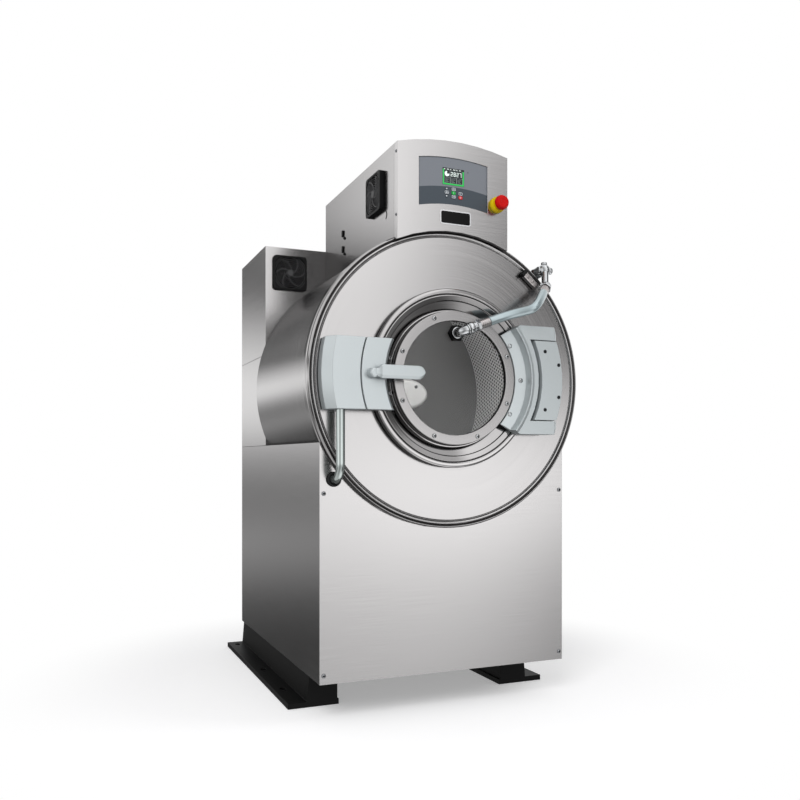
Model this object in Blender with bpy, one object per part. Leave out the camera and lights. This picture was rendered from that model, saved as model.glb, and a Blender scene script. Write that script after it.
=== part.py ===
"""Hardmount washer-extractor, modelled as its separate pieces.

Metres, +Z up, the door faces -Y. The origin is on the floor, under the middle
of the whole machine. Front-to-back places are measured from the front panel.
"""
import math

import bmesh
import bpy
from mathutils import Vector

# Clearances and modelling values
GAP = 0.0003
OVERRUN = 0.02
MERGE = 0.00001
ROUND_STEPS = 36
DOOR_STEPS = 32
INNER_STEPS = 18
SMALL_STEPS = 12
SMOOTH_ANGLE = math.radians(35)

# Cabinet
CABINET_WIDTH = 0.800
CABINET_BOTTOM = 0.116
CABINET_HEIGHT = 0.680
SHEET = 0.002
PANEL_RETURN = 0.025

# Drive box behind the tub
DRIVE_BOX_FRONT = 0.636
DRIVE_BOX_DEPTH = 0.388
DRIVE_BOX_SEAM_RISE = 0.318
DRIVE_BOX_HOLE_CLEARANCE = 0.013
VENT_WIDTH = 0.150
VENT_HEIGHT = 0.009
VENT_SPACE = 0.017
VENT_COUNT = 3
VENT_SPREAD = 0.400
LOWER_VENT_RISE = 0.444
UPPER_VENT_RISE = 0.046

# Base rails
RAIL_OVERHANG = 0.0395
RAIL_PLATE_WIDTH = 0.160
RAIL_PLATE_THICKNESS = 0.017
RAIL_START = 0.190
RAIL_LENGTH = 0.920
CHANNEL_FOOT_INSET = 0.0595
CHANNEL_FOOT_WIDTH = 0.096
CHANNEL_TAPER = 0.008
SLOT_WIDTH = 0.018
SLOT_LENGTH = 0.030
SLOT_SHARES = (0.186, 0.477, 0.945)

# Saddles and motor shelf
SADDLE_THICKNESS = 0.012
SADDLE_INSET = 0.030
SADDLE_DROP = 0.116
SADDLE_FRONT_STEP = 0.025
SADDLE_REAR_STEP = 0.036
SADDLE_SINK = 0.010
SADDLE_WINDOW_MARGIN = 0.100
SADDLE_WINDOW_SILL = 0.044
SADDLE_WINDOW_DROP = 0.094
SHELF_THICKNESS = 0.012
SHELF_DEPTH = 0.240

# Drum axis, tub and front head
DRUM_RISE = 0.190
TUB_OVERHANG = 0.032
TUB_WALL = 0.003
TUB_BACK_THICKNESS = 0.008
TUB_BACK_HOLE_INSET = 0.005
TUB_FRONT = 0.0125
RIM_THICKNESS = 0.009
RIM_STEP = 0.004
RIM_LAP = 0.030
RIM_EDGE = 0.004
HEAD_SHEET = 0.003
HEAD_PROUD = 0.0175
HEAD_BEAD_STEP = 0.003
HEAD_BEAD_WIDTH = 0.009
DOORWAY_SHARE = 0.514
COLLAR_END = 0.020
COLLAR_FILLET = 0.008

# Door
DOOR_OVERLAP = 0.041
DOOR_STANDOFF = 0.007
DOOR_BEAD_DEPTH = 0.0205
DOOR_BEAD_WIDTH = 0.021
DOOR_SHEET = 0.003
PAN_FLOOR_STEP = 0.0095
PAN_FLOOR_INSET = 0.027
PAN_FLANGE_STEP = 0.002
GLASS_EDGE_INSET = 0.0057
GLASS_THICKNESS = 0.010
CLAMP_INSET = 0.0673
CLAMP_WIDTH = 0.0287
CLAMP_STEP = 0.0057
GASKET_WIDTH = 0.018

# Castings of the latch and the hinge
CASTING_STEP = 0.040
COVER_TUCK = 0.038
COVER_REACH = 0.045
COVER_HALF_HEIGHT = 0.100
COVER_WALL = 0.008
SEAM_GAP = 0.0025
LOCK_RIM_INSET = 0.020
LOCK_BEVEL_WIDTH = 0.022
LOCK_BEVEL_DEPTH = 0.030
HANDLE_SEAM_INSET = 0.032
HANDLE_BOSS_RADIUS = 0.016
HANDLE_REACH = 0.148
HANDLE_RISE = 0.008
HANDLE_TIP_RADIUS = 0.015
HANDLE_THICKNESS = 0.016
HANDLE_STANDOFF = 0.017
SPINDLE_RADIUS = 0.008
CAM_RADIUS = 0.017
CAM_THICKNESS = 0.006
HINGE_PIN_STEP = 0.047
HINGE_PROUD_STEP = 0.015
HINGE_PIN_RADIUS = 0.008
HINGE_ARM_STEP = 0.0033
HINGE_REACH = 0.094
HINGE_SEAM_STEP = 0.0005
HINGE_HALF_HEIGHT = 0.163
HINGE_BLOCK_HALF_HEIGHT = 0.1195
HINGE_SWEEP = math.radians(62)
HINGE_BLOCK_SWEEP = math.radians(40)
HINGE_CORNER_IN_SHARE = 0.70
HINGE_CORNER_RISE_SHARE = 0.78
HINGE_LUG_REACH = 0.024
HINGE_WASHER_RADIUS = 0.013
HINGE_DRAFT = 0.010
ARM_RIB_STEP = 0.003
ARM_FACE_STEP = 0.0025

# Lock conduit
CONDUIT_RADIUS = 0.0125
CONDUIT_INSET = 0.0734
CONDUIT_PROUD = 0.060
CONDUIT_BEND = 0.045
CONDUIT_END = 0.016
GROMMET_RADIUS = 0.0220
GROMMET_PROUD = 0.009
GROMMET_CLEARANCE = 0.0007

# Spray line
HOSE_RADIUS = 0.0135
HOSE_BULGE = 0.048
HOSE_LEAD = 0.006
HOSE_CREST_SHARE = 2 / 3
HOSE_STEPS = 12
SPRAY_RING_INSET = 0.036
SPRAY_NUT_RADIUS = 0.0235
SPRAY_NUT_STEP = 0.008
SPRAY_TUBE_RADIUS = 0.0110
SPRAY_TIP_BACK = 0.012
SPRAY_ELBOW_STEP = 0.032
SPRAY_ELBOW_BEND = 0.016
SPRAY_ARM = 0.062
SPRAY_FERRULE = 0.032
SPRAY_LEAN = math.radians(21)
SUPPLY_INSET = 0.049
SUPPLY_ANGLE = math.radians(43.6)
SUPPLY_PROUD = 0.083
SUPPLY_HEADING = math.radians(45)
SUPPLY_PITCH = math.radians(35.3)
SUPPLY_FERRULE = 0.036
SUPPLY_RUN_CLEARANCE = 0.0132
SUPPLY_RUN_ANGLE = math.radians(47.9)
SUPPLY_CORNER_PROUD = 0.040
SUPPLY_BEND = 0.020
BRACKET_INSET = 0.024
BRACKET_ANGLE = math.radians(49.7)
BRACKET_LENGTH = 0.060
BRACKET_HEIGHT = 0.018
BRACKET_DEPTH = 0.016

# Basket
BASKET_CLEARANCE = 0.032
BASKET_WALL = 0.0025
BASKET_FRONT = 0.028
BASKET_BACK_CLEARANCE = 0.061
BASKET_LIP_STEP = 0.0055
BASKET_CORNER = 0.008
HOLE_ROWS = 5
HOLE_COLUMNS = 24
HOLE_MARGIN_SHARE = 0.30
SPIDER_DISC = 0.004
SPIDER_HUB_RADIUS = 0.060
SPIDER_HUB_CLEARANCE = 0.024
SPIDER_ARM_WIDTH = 0.070
SPIDER_ARM_HEIGHT = 0.028
SPIDER_ARM_INSET = 0.020
SPIDER_ARMS = 3
LIFTER_COUNT = 3
LIFTER_BASE = 0.120
LIFTER_TOP = 0.046
LIFTER_HEIGHT = 0.085
LIFTER_END_CLEARANCE = 0.012

# Bearings, shaft and pulleys
HUB_RADIUS = 0.075
HUB_LENGTH = 0.214
FLANGE_RADIUS = 0.155
FLANGE_THICKNESS = 0.014
BEARING_RADIUS = 0.0555
BEARING_DEPTH = 0.040
SHAFT_RADIUS = 0.030
SHAFT_CLEARANCE = 0.006
SHAFT_FLANGE_RADIUS = 0.055
SHAFT_FLANGE = 0.010
GUSSET_COUNT = 4
GUSSET_THICKNESS = 0.010
PULLEY_STANDOFF = 0.014
PULLEY_WIDTH = 0.038
PULLEY_RADIUS = 0.190
PULLEY_RIM = 0.014
PULLEY_WEB = 0.010
PULLEY_HUB_RADIUS = 0.050
PULLEY_WINDOW_RADIUS = 0.040
PULLEY_WINDOWS = 4
MOTOR_PULLEY_RADIUS = 0.038
BELT_THICKNESS = 0.007
BELT_INSET = 0.004
MOTOR_X = 0.110
MOTOR_FOOT = 0.020
MOTOR_RADIUS = 0.105
MOTOR_FRONT_CLEARANCE = 0.004
MOTOR_BACK_CLEARANCE = 0.016
MOTOR_SHAFT_RADIUS = 0.014
MOTOR_FIN = 0.006
MOTOR_FINS = 2

# Drain and water inlet
DRAIN_RADIUS = 0.036
DRAIN_Y = 0.330
DRAIN_BODY_DROP = 0.124
DRAIN_RUN_DROP = 0.214
DRAIN_RUN_X = 0.130
DRAIN_RUN_STEP = 0.202
DRAIN_BEND = 0.060
DRAIN_TAIL = 0.060
ACTUATOR_SIZE = 0.110
INLET_MARGIN = 0.160
INLET_DROP = 0.134
INLET_WIDTH = 0.170
INLET_HEIGHT = 0.060
INLET_DEPTH = 0.045
INLET_STUB_RADIUS = 0.0135
INLET_STUB = 0.030
INLET_PITCH = 0.055

# Control box
CONTROL_WIDTH = 0.361
CONTROL_HEIGHT = 0.265
CONTROL_PROUD = 0.037
CONTROL_FRONT_DEPTH = 0.024
CONTROL_WALL = 0.003
RECESS_HALF_WIDTH = 0.112
RECESS_DEPTH = 0.006
RECESS_RISE = 0.079
RECESS_HEIGHT = 0.137
OVERLAY_THICKNESS = 0.0025
DISPLAY_WIDTH = 0.071
DISPLAY_HEIGHT = 0.050
DISPLAY_RISE = 0.082
KEY_RISE = 0.0345
KEY_HALF_WIDTH = 0.0060
KEY_HALF_HEIGHT = 0.0045
KEY_COLUMN_SPACE = 0.0106
KEY_ROW_SPACE = 0.0020
ARROW_RADIUS = 0.0030
KEY_PROUD = 0.0020
KEY_DEPTH = 0.0070
ESTOP_X = 0.143
ESTOP_RISE = 0.094
ESTOP_RING_RADIUS = 0.024
ESTOP_RING_DEPTH = 0.015
ESTOP_HEAD_RADIUS = 0.0215
ESTOP_HEAD_DEPTH = 0.020
ESTOP_TRAVEL = 0.008
ESTOP_STEM_RADIUS = 0.011

# Fans
FAN_SIZE = 0.120
FAN_BORDER = 0.006
FAN_GUARD_DEPTH = 0.014
FAN_GRILLE_DEPTH = 0.005
FAN_CORNER = 0.008
FAN_HUB_RADIUS = 0.019
FAN_RING_RADIUS = 0.037
FAN_RING_WIDTH = 0.003
FAN_SPOKES = 5
FAN_SPOKE_WIDTH = 0.006
FAN_SPOKE_SWIRL = math.radians(38)
ROTOR_BLADES = 7
ROTOR_DEPTH = 0.020
ROTOR_TIP_GAP = 0.003
BLADE_PITCH = math.radians(38)
BLADE_THICKNESS = 0.0018
CONTROL_FAN_Y = 0.126
CONTROL_FAN_RISE = 0.132
DRIVE_FAN_MARGIN = 0.026
DRIVE_FAN_CLEARANCE = 0.007
DRIVE_FAN_DROP = 0.090

# Worked out: cabinet, tub and base
HALF_WIDTH = CABINET_WIDTH / 2
CABINET_TOP = CABINET_BOTTOM + CABINET_HEIGHT
CABINET_DEPTH = DRIVE_BOX_FRONT + DRIVE_BOX_DEPTH
DRUM_Z = CABINET_TOP + DRUM_RISE
TUB_RADIUS = HALF_WIDTH + TUB_OVERHANG
TUB_BOTTOM = DRUM_Z - TUB_RADIUS
TUB_TOP = DRUM_Z + TUB_RADIUS
TUB_BACK = DRIVE_BOX_FRONT - GAP
TUB_BACK_HOLE = HUB_RADIUS - TUB_BACK_HOLE_INSET
RIM_RADIUS = TUB_RADIUS + RIM_THICKNESS
RIM_PROUD = HEAD_PROUD + RIM_STEP
HEAD_BEAD_PROUD = HEAD_PROUD + HEAD_BEAD_STEP
DOORWAY_RADIUS = TUB_RADIUS * DOORWAY_SHARE
DRIVE_BOX_SEAM = CABINET_TOP + DRIVE_BOX_SEAM_RISE
DRIVE_FAN_X = HALF_WIDTH - FAN_SIZE / 2 - DRIVE_FAN_MARGIN
DRIVE_FAN_RISE = math.sqrt((TUB_RADIUS + DRIVE_FAN_CLEARANCE) ** 2 - (DRIVE_FAN_X - FAN_SIZE / 2) ** 2)
DRIVE_FAN_Z = DRUM_Z + DRIVE_FAN_RISE + FAN_SIZE / 2
DRIVE_BOX_TOP = DRIVE_FAN_Z + DRIVE_FAN_DROP
DRIVE_BOX_HOLE_RADIUS = FLANGE_RADIUS + DRIVE_BOX_HOLE_CLEARANCE
RAIL_END = RAIL_START + RAIL_LENGTH
HALF_SPAN = HALF_WIDTH + RAIL_OVERHANG
SADDLE_HALF = HALF_SPAN - CHANNEL_FOOT_INSET - SADDLE_INSET
SADDLE_PLACES = (RAIL_START + SADDLE_FRONT_STEP, DRIVE_BOX_FRONT - SADDLE_REAR_STEP)
SHELF_TOP = CABINET_BOTTOM + SHELF_THICKNESS

# Worked out: door, castings and spray line
DOOR_RADIUS = DOORWAY_RADIUS + DOOR_OVERLAP
DOOR_BACK = HEAD_PROUD + DOOR_STANDOFF
DOOR_BEAD_PROUD = DOOR_BACK + DOOR_BEAD_DEPTH
PAN_FLOOR_PROUD = DOOR_BACK + PAN_FLOOR_STEP
PAN_FLOOR_RADIUS = DOOR_RADIUS - PAN_FLOOR_INSET
PAN_FLANGE_PROUD = PAN_FLOOR_PROUD + PAN_FLANGE_STEP
GLASS_FRONT = PAN_FLANGE_PROUD + GAP + GLASS_THICKNESS
CLAMP_RADIUS = DOOR_RADIUS - CLAMP_INSET
CLAMP_PROUD = GLASS_FRONT + CLAMP_STEP
GLASS_CLEAR_RADIUS = CLAMP_RADIUS - CLAMP_WIDTH
GLASS_RADIUS = CLAMP_RADIUS - GLASS_EDGE_INSET
CASTING_PROUD = DOOR_BEAD_PROUD + CASTING_STEP
COVER_INNER_RADIUS = DOOR_RADIUS - COVER_TUCK
COVER_SEAM_RADIUS = DOOR_RADIUS + COVER_REACH
LOCK_LEFT = TUB_RADIUS - LOCK_RIM_INSET
HANDLE_X = COVER_SEAM_RADIUS - HANDLE_SEAM_INSET
HANDLE_BACK = CASTING_PROUD + HANDLE_STANDOFF
HANDLE_FRONT = HANDLE_BACK + HANDLE_THICKNESS
HINGE_X = DOOR_RADIUS + HINGE_PIN_STEP
HINGE_PROUD = DOOR_BEAD_PROUD + HINGE_PROUD_STEP
HINGE_ARM_RADIUS = CLAMP_RADIUS + HINGE_ARM_STEP
HINGE_OUTER_RADIUS = DOOR_RADIUS + HINGE_REACH
HINGE_SEAM_RADIUS = DOOR_RADIUS + HINGE_SEAM_STEP
ARM_RIB_PROUD = CASTING_PROUD + ARM_RIB_STEP
ARM_FACE_PROUD = CASTING_PROUD - ARM_FACE_STEP
CONDUIT_X = TUB_RADIUS - CONDUIT_INSET
CONDUIT_DROP = math.sqrt((RIM_RADIUS + GROMMET_RADIUS + GROMMET_CLEARANCE) ** 2 - CONDUIT_X ** 2)
SPRAY_Z = GLASS_CLEAR_RADIUS - SPRAY_RING_INSET
SPRAY_NUT_PROUD = CLAMP_PROUD + SPRAY_NUT_STEP
SPRAY_ELBOW_PROUD = SPRAY_NUT_PROUD + SPRAY_ELBOW_STEP
HOSE_PROUD = SPRAY_ELBOW_PROUD + HOSE_BULGE
SUPPLY_RADIUS = TUB_RADIUS - SUPPLY_INSET
SUPPLY_RUN_RADIUS = RIM_RADIUS + SPRAY_TUBE_RADIUS + SUPPLY_RUN_CLEARANCE
BRACKET_REACH = TUB_RADIUS - BRACKET_INSET
PANEL_Y = (HOSE_PROUD - RAIL_END) / 2

# Worked out: basket, drive and controls
BASKET_RADIUS = TUB_RADIUS - BASKET_CLEARANCE
BASKET_BACK = DRIVE_BOX_FRONT - BASKET_BACK_CLEARANCE
BASKET_LIP_RADIUS = DOORWAY_RADIUS + BASKET_LIP_STEP
BASKET_INSIDE = (BASKET_RADIUS - BASKET_WALL) * math.cos(math.pi / HOLE_COLUMNS)
SPIDER_HUB_BACK = DRIVE_BOX_FRONT - SPIDER_HUB_CLEARANCE
SPIDER_ARM_REACH = BASKET_RADIUS - SPIDER_ARM_INSET
HUB_BACK = DRIVE_BOX_FRONT + HUB_LENGTH
HUB_BORE = SHAFT_RADIUS + SHAFT_CLEARANCE
PULLEY_FRONT = HUB_BACK + PULLEY_STANDOFF
SHAFT_END = PULLEY_FRONT + PULLEY_WIDTH + GAP
MOTOR_FRONT = DRIVE_BOX_FRONT + MOTOR_FRONT_CLEARANCE
MOTOR_BACK = PULLEY_FRONT - MOTOR_BACK_CLEARANCE
MOTOR_Z = SHELF_TOP + MOTOR_FOOT + MOTOR_RADIUS
DRAIN_RUN_Z = TUB_BOTTOM - DRAIN_RUN_DROP
INLET_X = HALF_WIDTH - INLET_MARGIN
INLET_Z = DRIVE_BOX_TOP - INLET_DROP
CONTROL_HALF = CONTROL_WIDTH / 2
CONTROL_TOP_RADIUS = TUB_RADIUS + CONTROL_HEIGHT
RECESS_FLOOR_RADIUS = TUB_RADIUS + RECESS_RISE
RECESS_TOP_RADIUS = RECESS_FLOOR_RADIUS + RECESS_HEIGHT
DISPLAY_Z = RECESS_FLOOR_RADIUS + DISPLAY_RISE
KEY_CENTRE_Z = RECESS_FLOOR_RADIUS + KEY_RISE
KEY_COLUMN = 2 * KEY_HALF_WIDTH + KEY_COLUMN_SPACE
KEY_ROW = 2 * KEY_HALF_HEIGHT + KEY_ROW_SPACE
ESTOP_Z = TUB_RADIUS + ESTOP_RISE
FAN_OPENING_RADIUS = FAN_SIZE / 2 - FAN_BORDER
CONTROL_FAN_Z = TUB_TOP + CONTROL_FAN_RISE

STAINLESS = ("stainless", (0.55, 0.55, 0.56, 1), 0.28, 1.0)
BLACK_STEEL = ("black_steel", (0.01, 0.01, 0.012, 1), 0.5, 0.0)
CASTING = ("painted_casting", (0.58, 0.65, 0.67, 1), 0.42, 0.0)
BRIGHT = ("chrome", (0.8, 0.8, 0.8, 1), 0.12, 1.0)
RUBBER = ("rubber", (0.012, 0.012, 0.013, 1), 0.75, 0.0)
IRON = ("cast_iron", (0.10, 0.10, 0.11, 1), 0.65, 0.4)
GLASS = ("clear_glass", (0.80, 0.84, 0.85, 1), 0.03, 0.0)
BLACK_PLASTIC = ("black_plastic", (0.012, 0.012, 0.013, 1), 0.45, 0.0)
GREY_OVERLAY = ("grey_overlay", (0.09, 0.11, 0.13, 1), 0.45, 0.0)
SCREEN = ("screen", (0.02, 0.03, 0.03, 1), 0.10, 0.0)
KEY_GREY = ("key_grey", (0.30, 0.32, 0.36, 1), 0.5, 0.0)
KEY_GREEN = ("key_green", (0.01, 0.55, 0.08, 1), 0.5, 0.0)
KEY_RED = ("key_red", (0.75, 0.01, 0.02, 1), 0.5, 0.0)
YELLOW = ("yellow_plastic", (0.88, 0.70, 0.01, 1), 0.4, 0.0)
RED = ("red_plastic", (0.62, 0.004, 0.004, 1), 0.35, 0.0)
HOSE_GREY = ("hose_grey", (0.46, 0.54, 0.57, 1), 0.4, 0.0)
MOTOR_GREY = ("motor_paint", (0.12, 0.13, 0.14, 1), 0.5, 0.0)


# Scene and mesh helpers

def clear_scene():
    for old in list(bpy.data.objects):
        bpy.data.objects.remove(old, do_unlink=True)


def material(spec):
    name, colour, roughness, metallic = spec
    found = bpy.data.materials.get(name)
    if found:
        return found
    made = bpy.data.materials.new(name)
    made.use_nodes = True
    shader = made.node_tree.nodes["Principled BSDF"]
    shader.inputs["Base Color"].default_value = colour
    shader.inputs["Roughness"].default_value = roughness
    shader.inputs["Metallic"].default_value = metallic
    return made


def finish(name, bm, spec, place=(0, 0, 0)):
    """Turn a bmesh into an object with outward faces, at its place."""
    bmesh.ops.recalc_face_normals(bm, faces=bm.faces)
    if bm.calc_volume(signed=True) < 0:
        bmesh.ops.reverse_faces(bm, faces=bm.faces)
    mesh = bpy.data.meshes.new(name)
    bm.to_mesh(mesh)
    bm.free()
    mesh.shade_smooth()
    mesh.set_sharp_from_angle(angle=SMOOTH_ANGLE)
    made = bpy.data.objects.new(name, mesh)
    made.location = place
    bpy.context.scene.collection.objects.link(made)
    if spec:
        mesh.materials.append(material(spec))
    return made


def at_drum(y=0.0):
    """A point on the drum axis, y behind the front panel."""
    return (0, PANEL_Y + y, DRUM_Z)


def from_panel(x=0.0, y=0.0, z=0.0):
    return (x, PANEL_Y + y, z)


def turned(name, profile, spec, place, steps=ROUND_STEPS):
    """Turn a closed (radius, y) outline about the Y axis."""
    bm = bmesh.new()
    points = [bm.verts.new((radius, y, 0)) for radius, y in profile]
    pairs = zip(points, points[1:] + points[:1])
    edges = [bm.edges.new(pair) for pair in pairs if pair[0].co.x + pair[1].co.x > 0]
    bmesh.ops.spin(bm, geom=points + edges, axis=(0, 1, 0), angle=math.tau, steps=steps, use_merge=True)
    bmesh.ops.remove_doubles(bm, verts=bm.verts, dist=MERGE)
    return finish(name, bm, spec, place)


def turned_sector(name, profile, spec, place, middle, half_angle, steps):
    """Turn a closed (radius, y) outline through part of a circle about the Y axis."""
    bm = bmesh.new()
    rings = []
    for step in range(steps + 1):
        angle = middle - half_angle + 2 * half_angle * step / steps
        turn = (math.cos(angle), math.sin(angle))
        rings.append([bm.verts.new((radius * turn[0], y, radius * turn[1])) for radius, y in profile])
    bridge(bm, rings)
    return finish(name, bm, spec, place)


def bridge(bm, rings):
    """Join rings of vertices in a row and close both ends."""
    for first, second in zip(rings, rings[1:]):
        count = len(first)
        for index in range(count):
            after = (index + 1) % count
            bm.faces.new((first[index], first[after], second[after], second[index]))
    bm.faces.new(list(reversed(rings[0])))
    bm.faces.new(rings[-1])


def extruded(name, outline, start, end, axis, spec=None, place=(0, 0, 0)):
    """Extrude a closed outline from start to end along an axis.

    The outline holds (x, z) for Y, (y, z) for X and (x, y) for Z.
    """
    lift = {"X": lambda a, b: (start, a, b), "Y": lambda a, b: (a, start, b), "Z": lambda a, b: (a, b, start)}
    along = {"X": Vector((1, 0, 0)), "Y": Vector((0, 1, 0)), "Z": Vector((0, 0, 1))}
    bm = bmesh.new()
    base = bm.faces.new([bm.verts.new(lift[axis](a, b)) for a, b in outline])
    grown = bmesh.ops.extrude_face_region(bm, geom=[base])
    moved = [item for item in grown["geom"] if isinstance(item, bmesh.types.BMVert)]
    bmesh.ops.translate(bm, verts=moved, vec=along[axis] * (end - start))
    return finish(name, bm, spec, place)


def block(name, low, high, spec=None, place=(0, 0, 0)):
    """A box between two corners."""
    outline = rectangle(low[0], low[2], high[0], high[2])
    return extruded(name, outline, low[1], high[1], "Y", spec, place)


def swept(name, path, radii, spec, place, sides=SMALL_STEPS):
    """Sweep a circle of changing radius along a path of points."""
    bm = bmesh.new()
    points = [Vector(point) for point in path]
    rings = []
    normal = None
    for index, point in enumerate(points):
        ahead = points[min(index + 1, len(points) - 1)]
        behind = points[max(index - 1, 0)]
        if (ahead - point).length < MERGE:
            ahead = points[min(index + 2, len(points) - 1)]
        if (point - behind).length < MERGE:
            behind = points[max(index - 2, 0)]
        tangent = (ahead - behind).normalized()
        if normal is None:
            normal = tangent.orthogonal().normalized()
        normal = (normal - tangent * normal.dot(tangent)).normalized()
        side = tangent.cross(normal)
        ring = []
        for step in range(sides):
            angle = math.tau * step / sides
            offset = normal * math.cos(angle) + side * math.sin(angle)
            ring.append(bm.verts.new(point + offset * radii[index]))
        rings.append(ring)
    bridge(bm, rings)
    return finish(name, bm, spec, place)


def cut(target, tool, operation="DIFFERENCE"):
    """Cut a tool out of a piece, or join or intersect it with that tool."""
    step = target.modifiers.new(operation.lower(), "BOOLEAN")
    step.object = tool
    step.operation = operation
    step.solver = "EXACT"
    tool.hide_render = True
    tool.display_type = "WIRE"
    return target


def rounded(target, width, segments=1, angle=40):
    """Round the edges of a piece that turn by more than the angle."""
    step = target.modifiers.new("rounded edges", "BEVEL")
    step.width = width
    step.segments = segments
    step.limit_method = "ANGLE"
    step.angle_limit = math.radians(angle)
    return target


# Outline helpers

def arc(radius, start, end, steps, centre=(0, 0)):
    """Points on an arc between two angles, both ends included."""
    points = []
    for step in range(steps + 1):
        angle = start + (end - start) * step / steps
        points.append((centre[0] + radius * math.cos(angle), centre[1] + radius * math.sin(angle)))
    return points


def rectangle(left, bottom, right, top):
    return [(left, bottom), (right, bottom), (right, top), (left, top)]


def circle(radius, centre=(0, 0), steps=SMALL_STEPS):
    return arc(radius, 0, math.tau * (steps - 1) / steps, steps - 1, centre)


def bore(radius, centre=(0, 0), steps=SMALL_STEPS):
    """A round hole that clears a piece of the given radius all round."""
    return circle((radius + GAP) / math.cos(math.pi / steps), centre, steps)


def obround(width, length, centre):
    """A slot outline with round ends, long side along the second axis."""
    radius = width / 2
    run = (length - width) / 2
    upper = arc(radius, 0, math.pi, 4, (centre[0], centre[1] + run))
    lower = arc(radius, math.pi, math.tau, 4, (centre[0], centre[1] - run))
    return upper + lower


def clipped_square(half, corner):
    """A square with its four corners cut off."""
    near = half - corner
    return [(half, -near), (half, near), (near, half), (-near, half), (-half, near), (-half, -near),
            (-near, -half), (near, -half)]


def arched(half_width, floor_radius, roof_radius, steps=7):
    """An outline between two straight sides and two arcs about the drum axis."""
    low = math.asin(half_width / floor_radius)
    high = math.asin(half_width / roof_radius)
    quarter = math.pi / 2
    floor = arc(floor_radius, quarter + low, quarter - low, steps)
    roof = arc(roof_radius, quarter - high, quarter + high, steps)
    return floor + roof


def eased_path(start, end, leaving, arriving, steps):
    """Points of a curve between two ends with a given pull at each."""
    made = []
    for step in range(steps + 1):
        t = step / steps
        made.append(start * (2 * t ** 3 - 3 * t ** 2 + 1) + leaving * (t ** 3 - 2 * t ** 2 + t)
                    + end * (3 * t ** 2 - 2 * t ** 3) + arriving * (t ** 3 - t ** 2))
    return made


def bent_path(corners, radius, steps):
    """Points of a pipe that runs through the corners and bends round each inner one."""
    points = [Vector(corner) for corner in corners]
    made = [points[0]]
    for before, corner, after in zip(points, points[1:], points[2:]):
        into = (corner - before).normalized()
        out = (after - corner).normalized()
        turn = into.angle(out)
        inward = (out - into * into.dot(out)).normalized()
        start = corner - into * radius * math.tan(turn / 2)
        for step in range(steps + 1):
            angle = turn * step / steps
            made.append(start + into * radius * math.sin(angle) + inward * radius * (1 - math.cos(angle)))
    made.append(points[-1])
    return made


def tube(name, points, radius, spec, place, resolution=2):
    """A curve object with round bevel and filled caps."""
    curve = bpy.data.curves.new(name, "CURVE")
    curve.dimensions = "3D"
    curve.bevel_depth = radius
    curve.bevel_resolution = resolution
    curve.use_fill_caps = True
    spline = curve.splines.new("POLY")
    spline.points.add(len(points) - 1)
    for knot, point in zip(spline.points, points):
        knot.co = (*point, 1)
    spline.use_smooth = True
    curve.materials.append(material(spec))
    made = bpy.data.objects.new(name, curve)
    made.location = place
    bpy.context.scene.collection.objects.link(made)
    return made


# Base frame

def rail_outline(side):
    """Cross-section of an anchor plate with its channel on top, as (x, z)."""
    outer = HALF_SPAN
    foot = outer - CHANNEL_FOOT_INSET
    inner = foot - CHANNEL_FOOT_WIDTH
    points = [
        (outer - RAIL_PLATE_WIDTH, 0),
        (outer, 0),
        (outer, RAIL_PLATE_THICKNESS),
        (foot, RAIL_PLATE_THICKNESS),
        (foot - CHANNEL_TAPER, CABINET_BOTTOM - GAP),
        (inner, CABINET_BOTTOM - GAP),
        (inner, RAIL_PLATE_THICKNESS),
        (outer - RAIL_PLATE_WIDTH, RAIL_PLATE_THICKNESS),
    ]
    return [(side * x, z) for x, z in points]


def saddle(place, clearance):
    """A windowed plate whose top follows the tub."""
    plate = block("saddle", (-SADDLE_HALF, place, CABINET_BOTTOM - SADDLE_SINK),
                  (SADDLE_HALF, place + SADDLE_THICKNESS, CABINET_TOP - SADDLE_DROP), None, from_panel())
    half = SADDLE_HALF - SADDLE_WINDOW_MARGIN
    window = block("saddle_window", (-half, place - OVERRUN, CABINET_BOTTOM + SADDLE_WINDOW_SILL),
                   (half, place + SADDLE_THICKNESS + OVERRUN, TUB_BOTTOM - SADDLE_WINDOW_DROP), None,
                   from_panel())
    cut(plate, window)
    return cut(plate, clearance)


def base_frame(clearance):
    frame = extruded("base_frame", rail_outline(1), RAIL_START, RAIL_END, "Y", BLACK_STEEL, from_panel())
    other = extruded("rail_left", rail_outline(-1), RAIL_START, RAIL_END, "Y", None, from_panel())
    cut(frame, other, "UNION")
    for place in SADDLE_PLACES:
        cut(frame, saddle(place, clearance), "UNION")
    shelf_start = MOTOR_FRONT - (SHELF_DEPTH - (MOTOR_BACK - MOTOR_FRONT)) / 2
    shelf = block("shelf", (-SADDLE_HALF, shelf_start, CABINET_BOTTOM - SADDLE_SINK),
                  (SADDLE_HALF, shelf_start + SHELF_DEPTH, SHELF_TOP), None, from_panel())
    cut(frame, shelf, "UNION")
    for side in (-1, 1):
        middle = side * (HALF_SPAN - CHANNEL_FOOT_INSET / 2)
        for share in SLOT_SHARES:
            outline = obround(SLOT_WIDTH, SLOT_LENGTH, (middle, RAIL_START + share * RAIL_LENGTH))
            slot = extruded("slot", outline, -OVERRUN, RAIL_PLATE_THICKNESS + OVERRUN, "Z", None,
                            from_panel())
            cut(frame, slot)
    return frame


# Cabinet and drive box

def tub_clearance():
    """A stepped cylinder that keeps panels and saddles off the rim band and the tub."""
    end = DRIVE_BOX_FRONT + OVERRUN
    step = RIM_LAP + GAP
    profile = [(0, -OVERRUN), (RIM_RADIUS + GAP, -OVERRUN), (RIM_RADIUS + GAP, step),
               (TUB_RADIUS + GAP, step), (TUB_RADIUS + GAP, end), (0, end)]
    return turned("tub_clearance", profile, None, at_drum())


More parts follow.
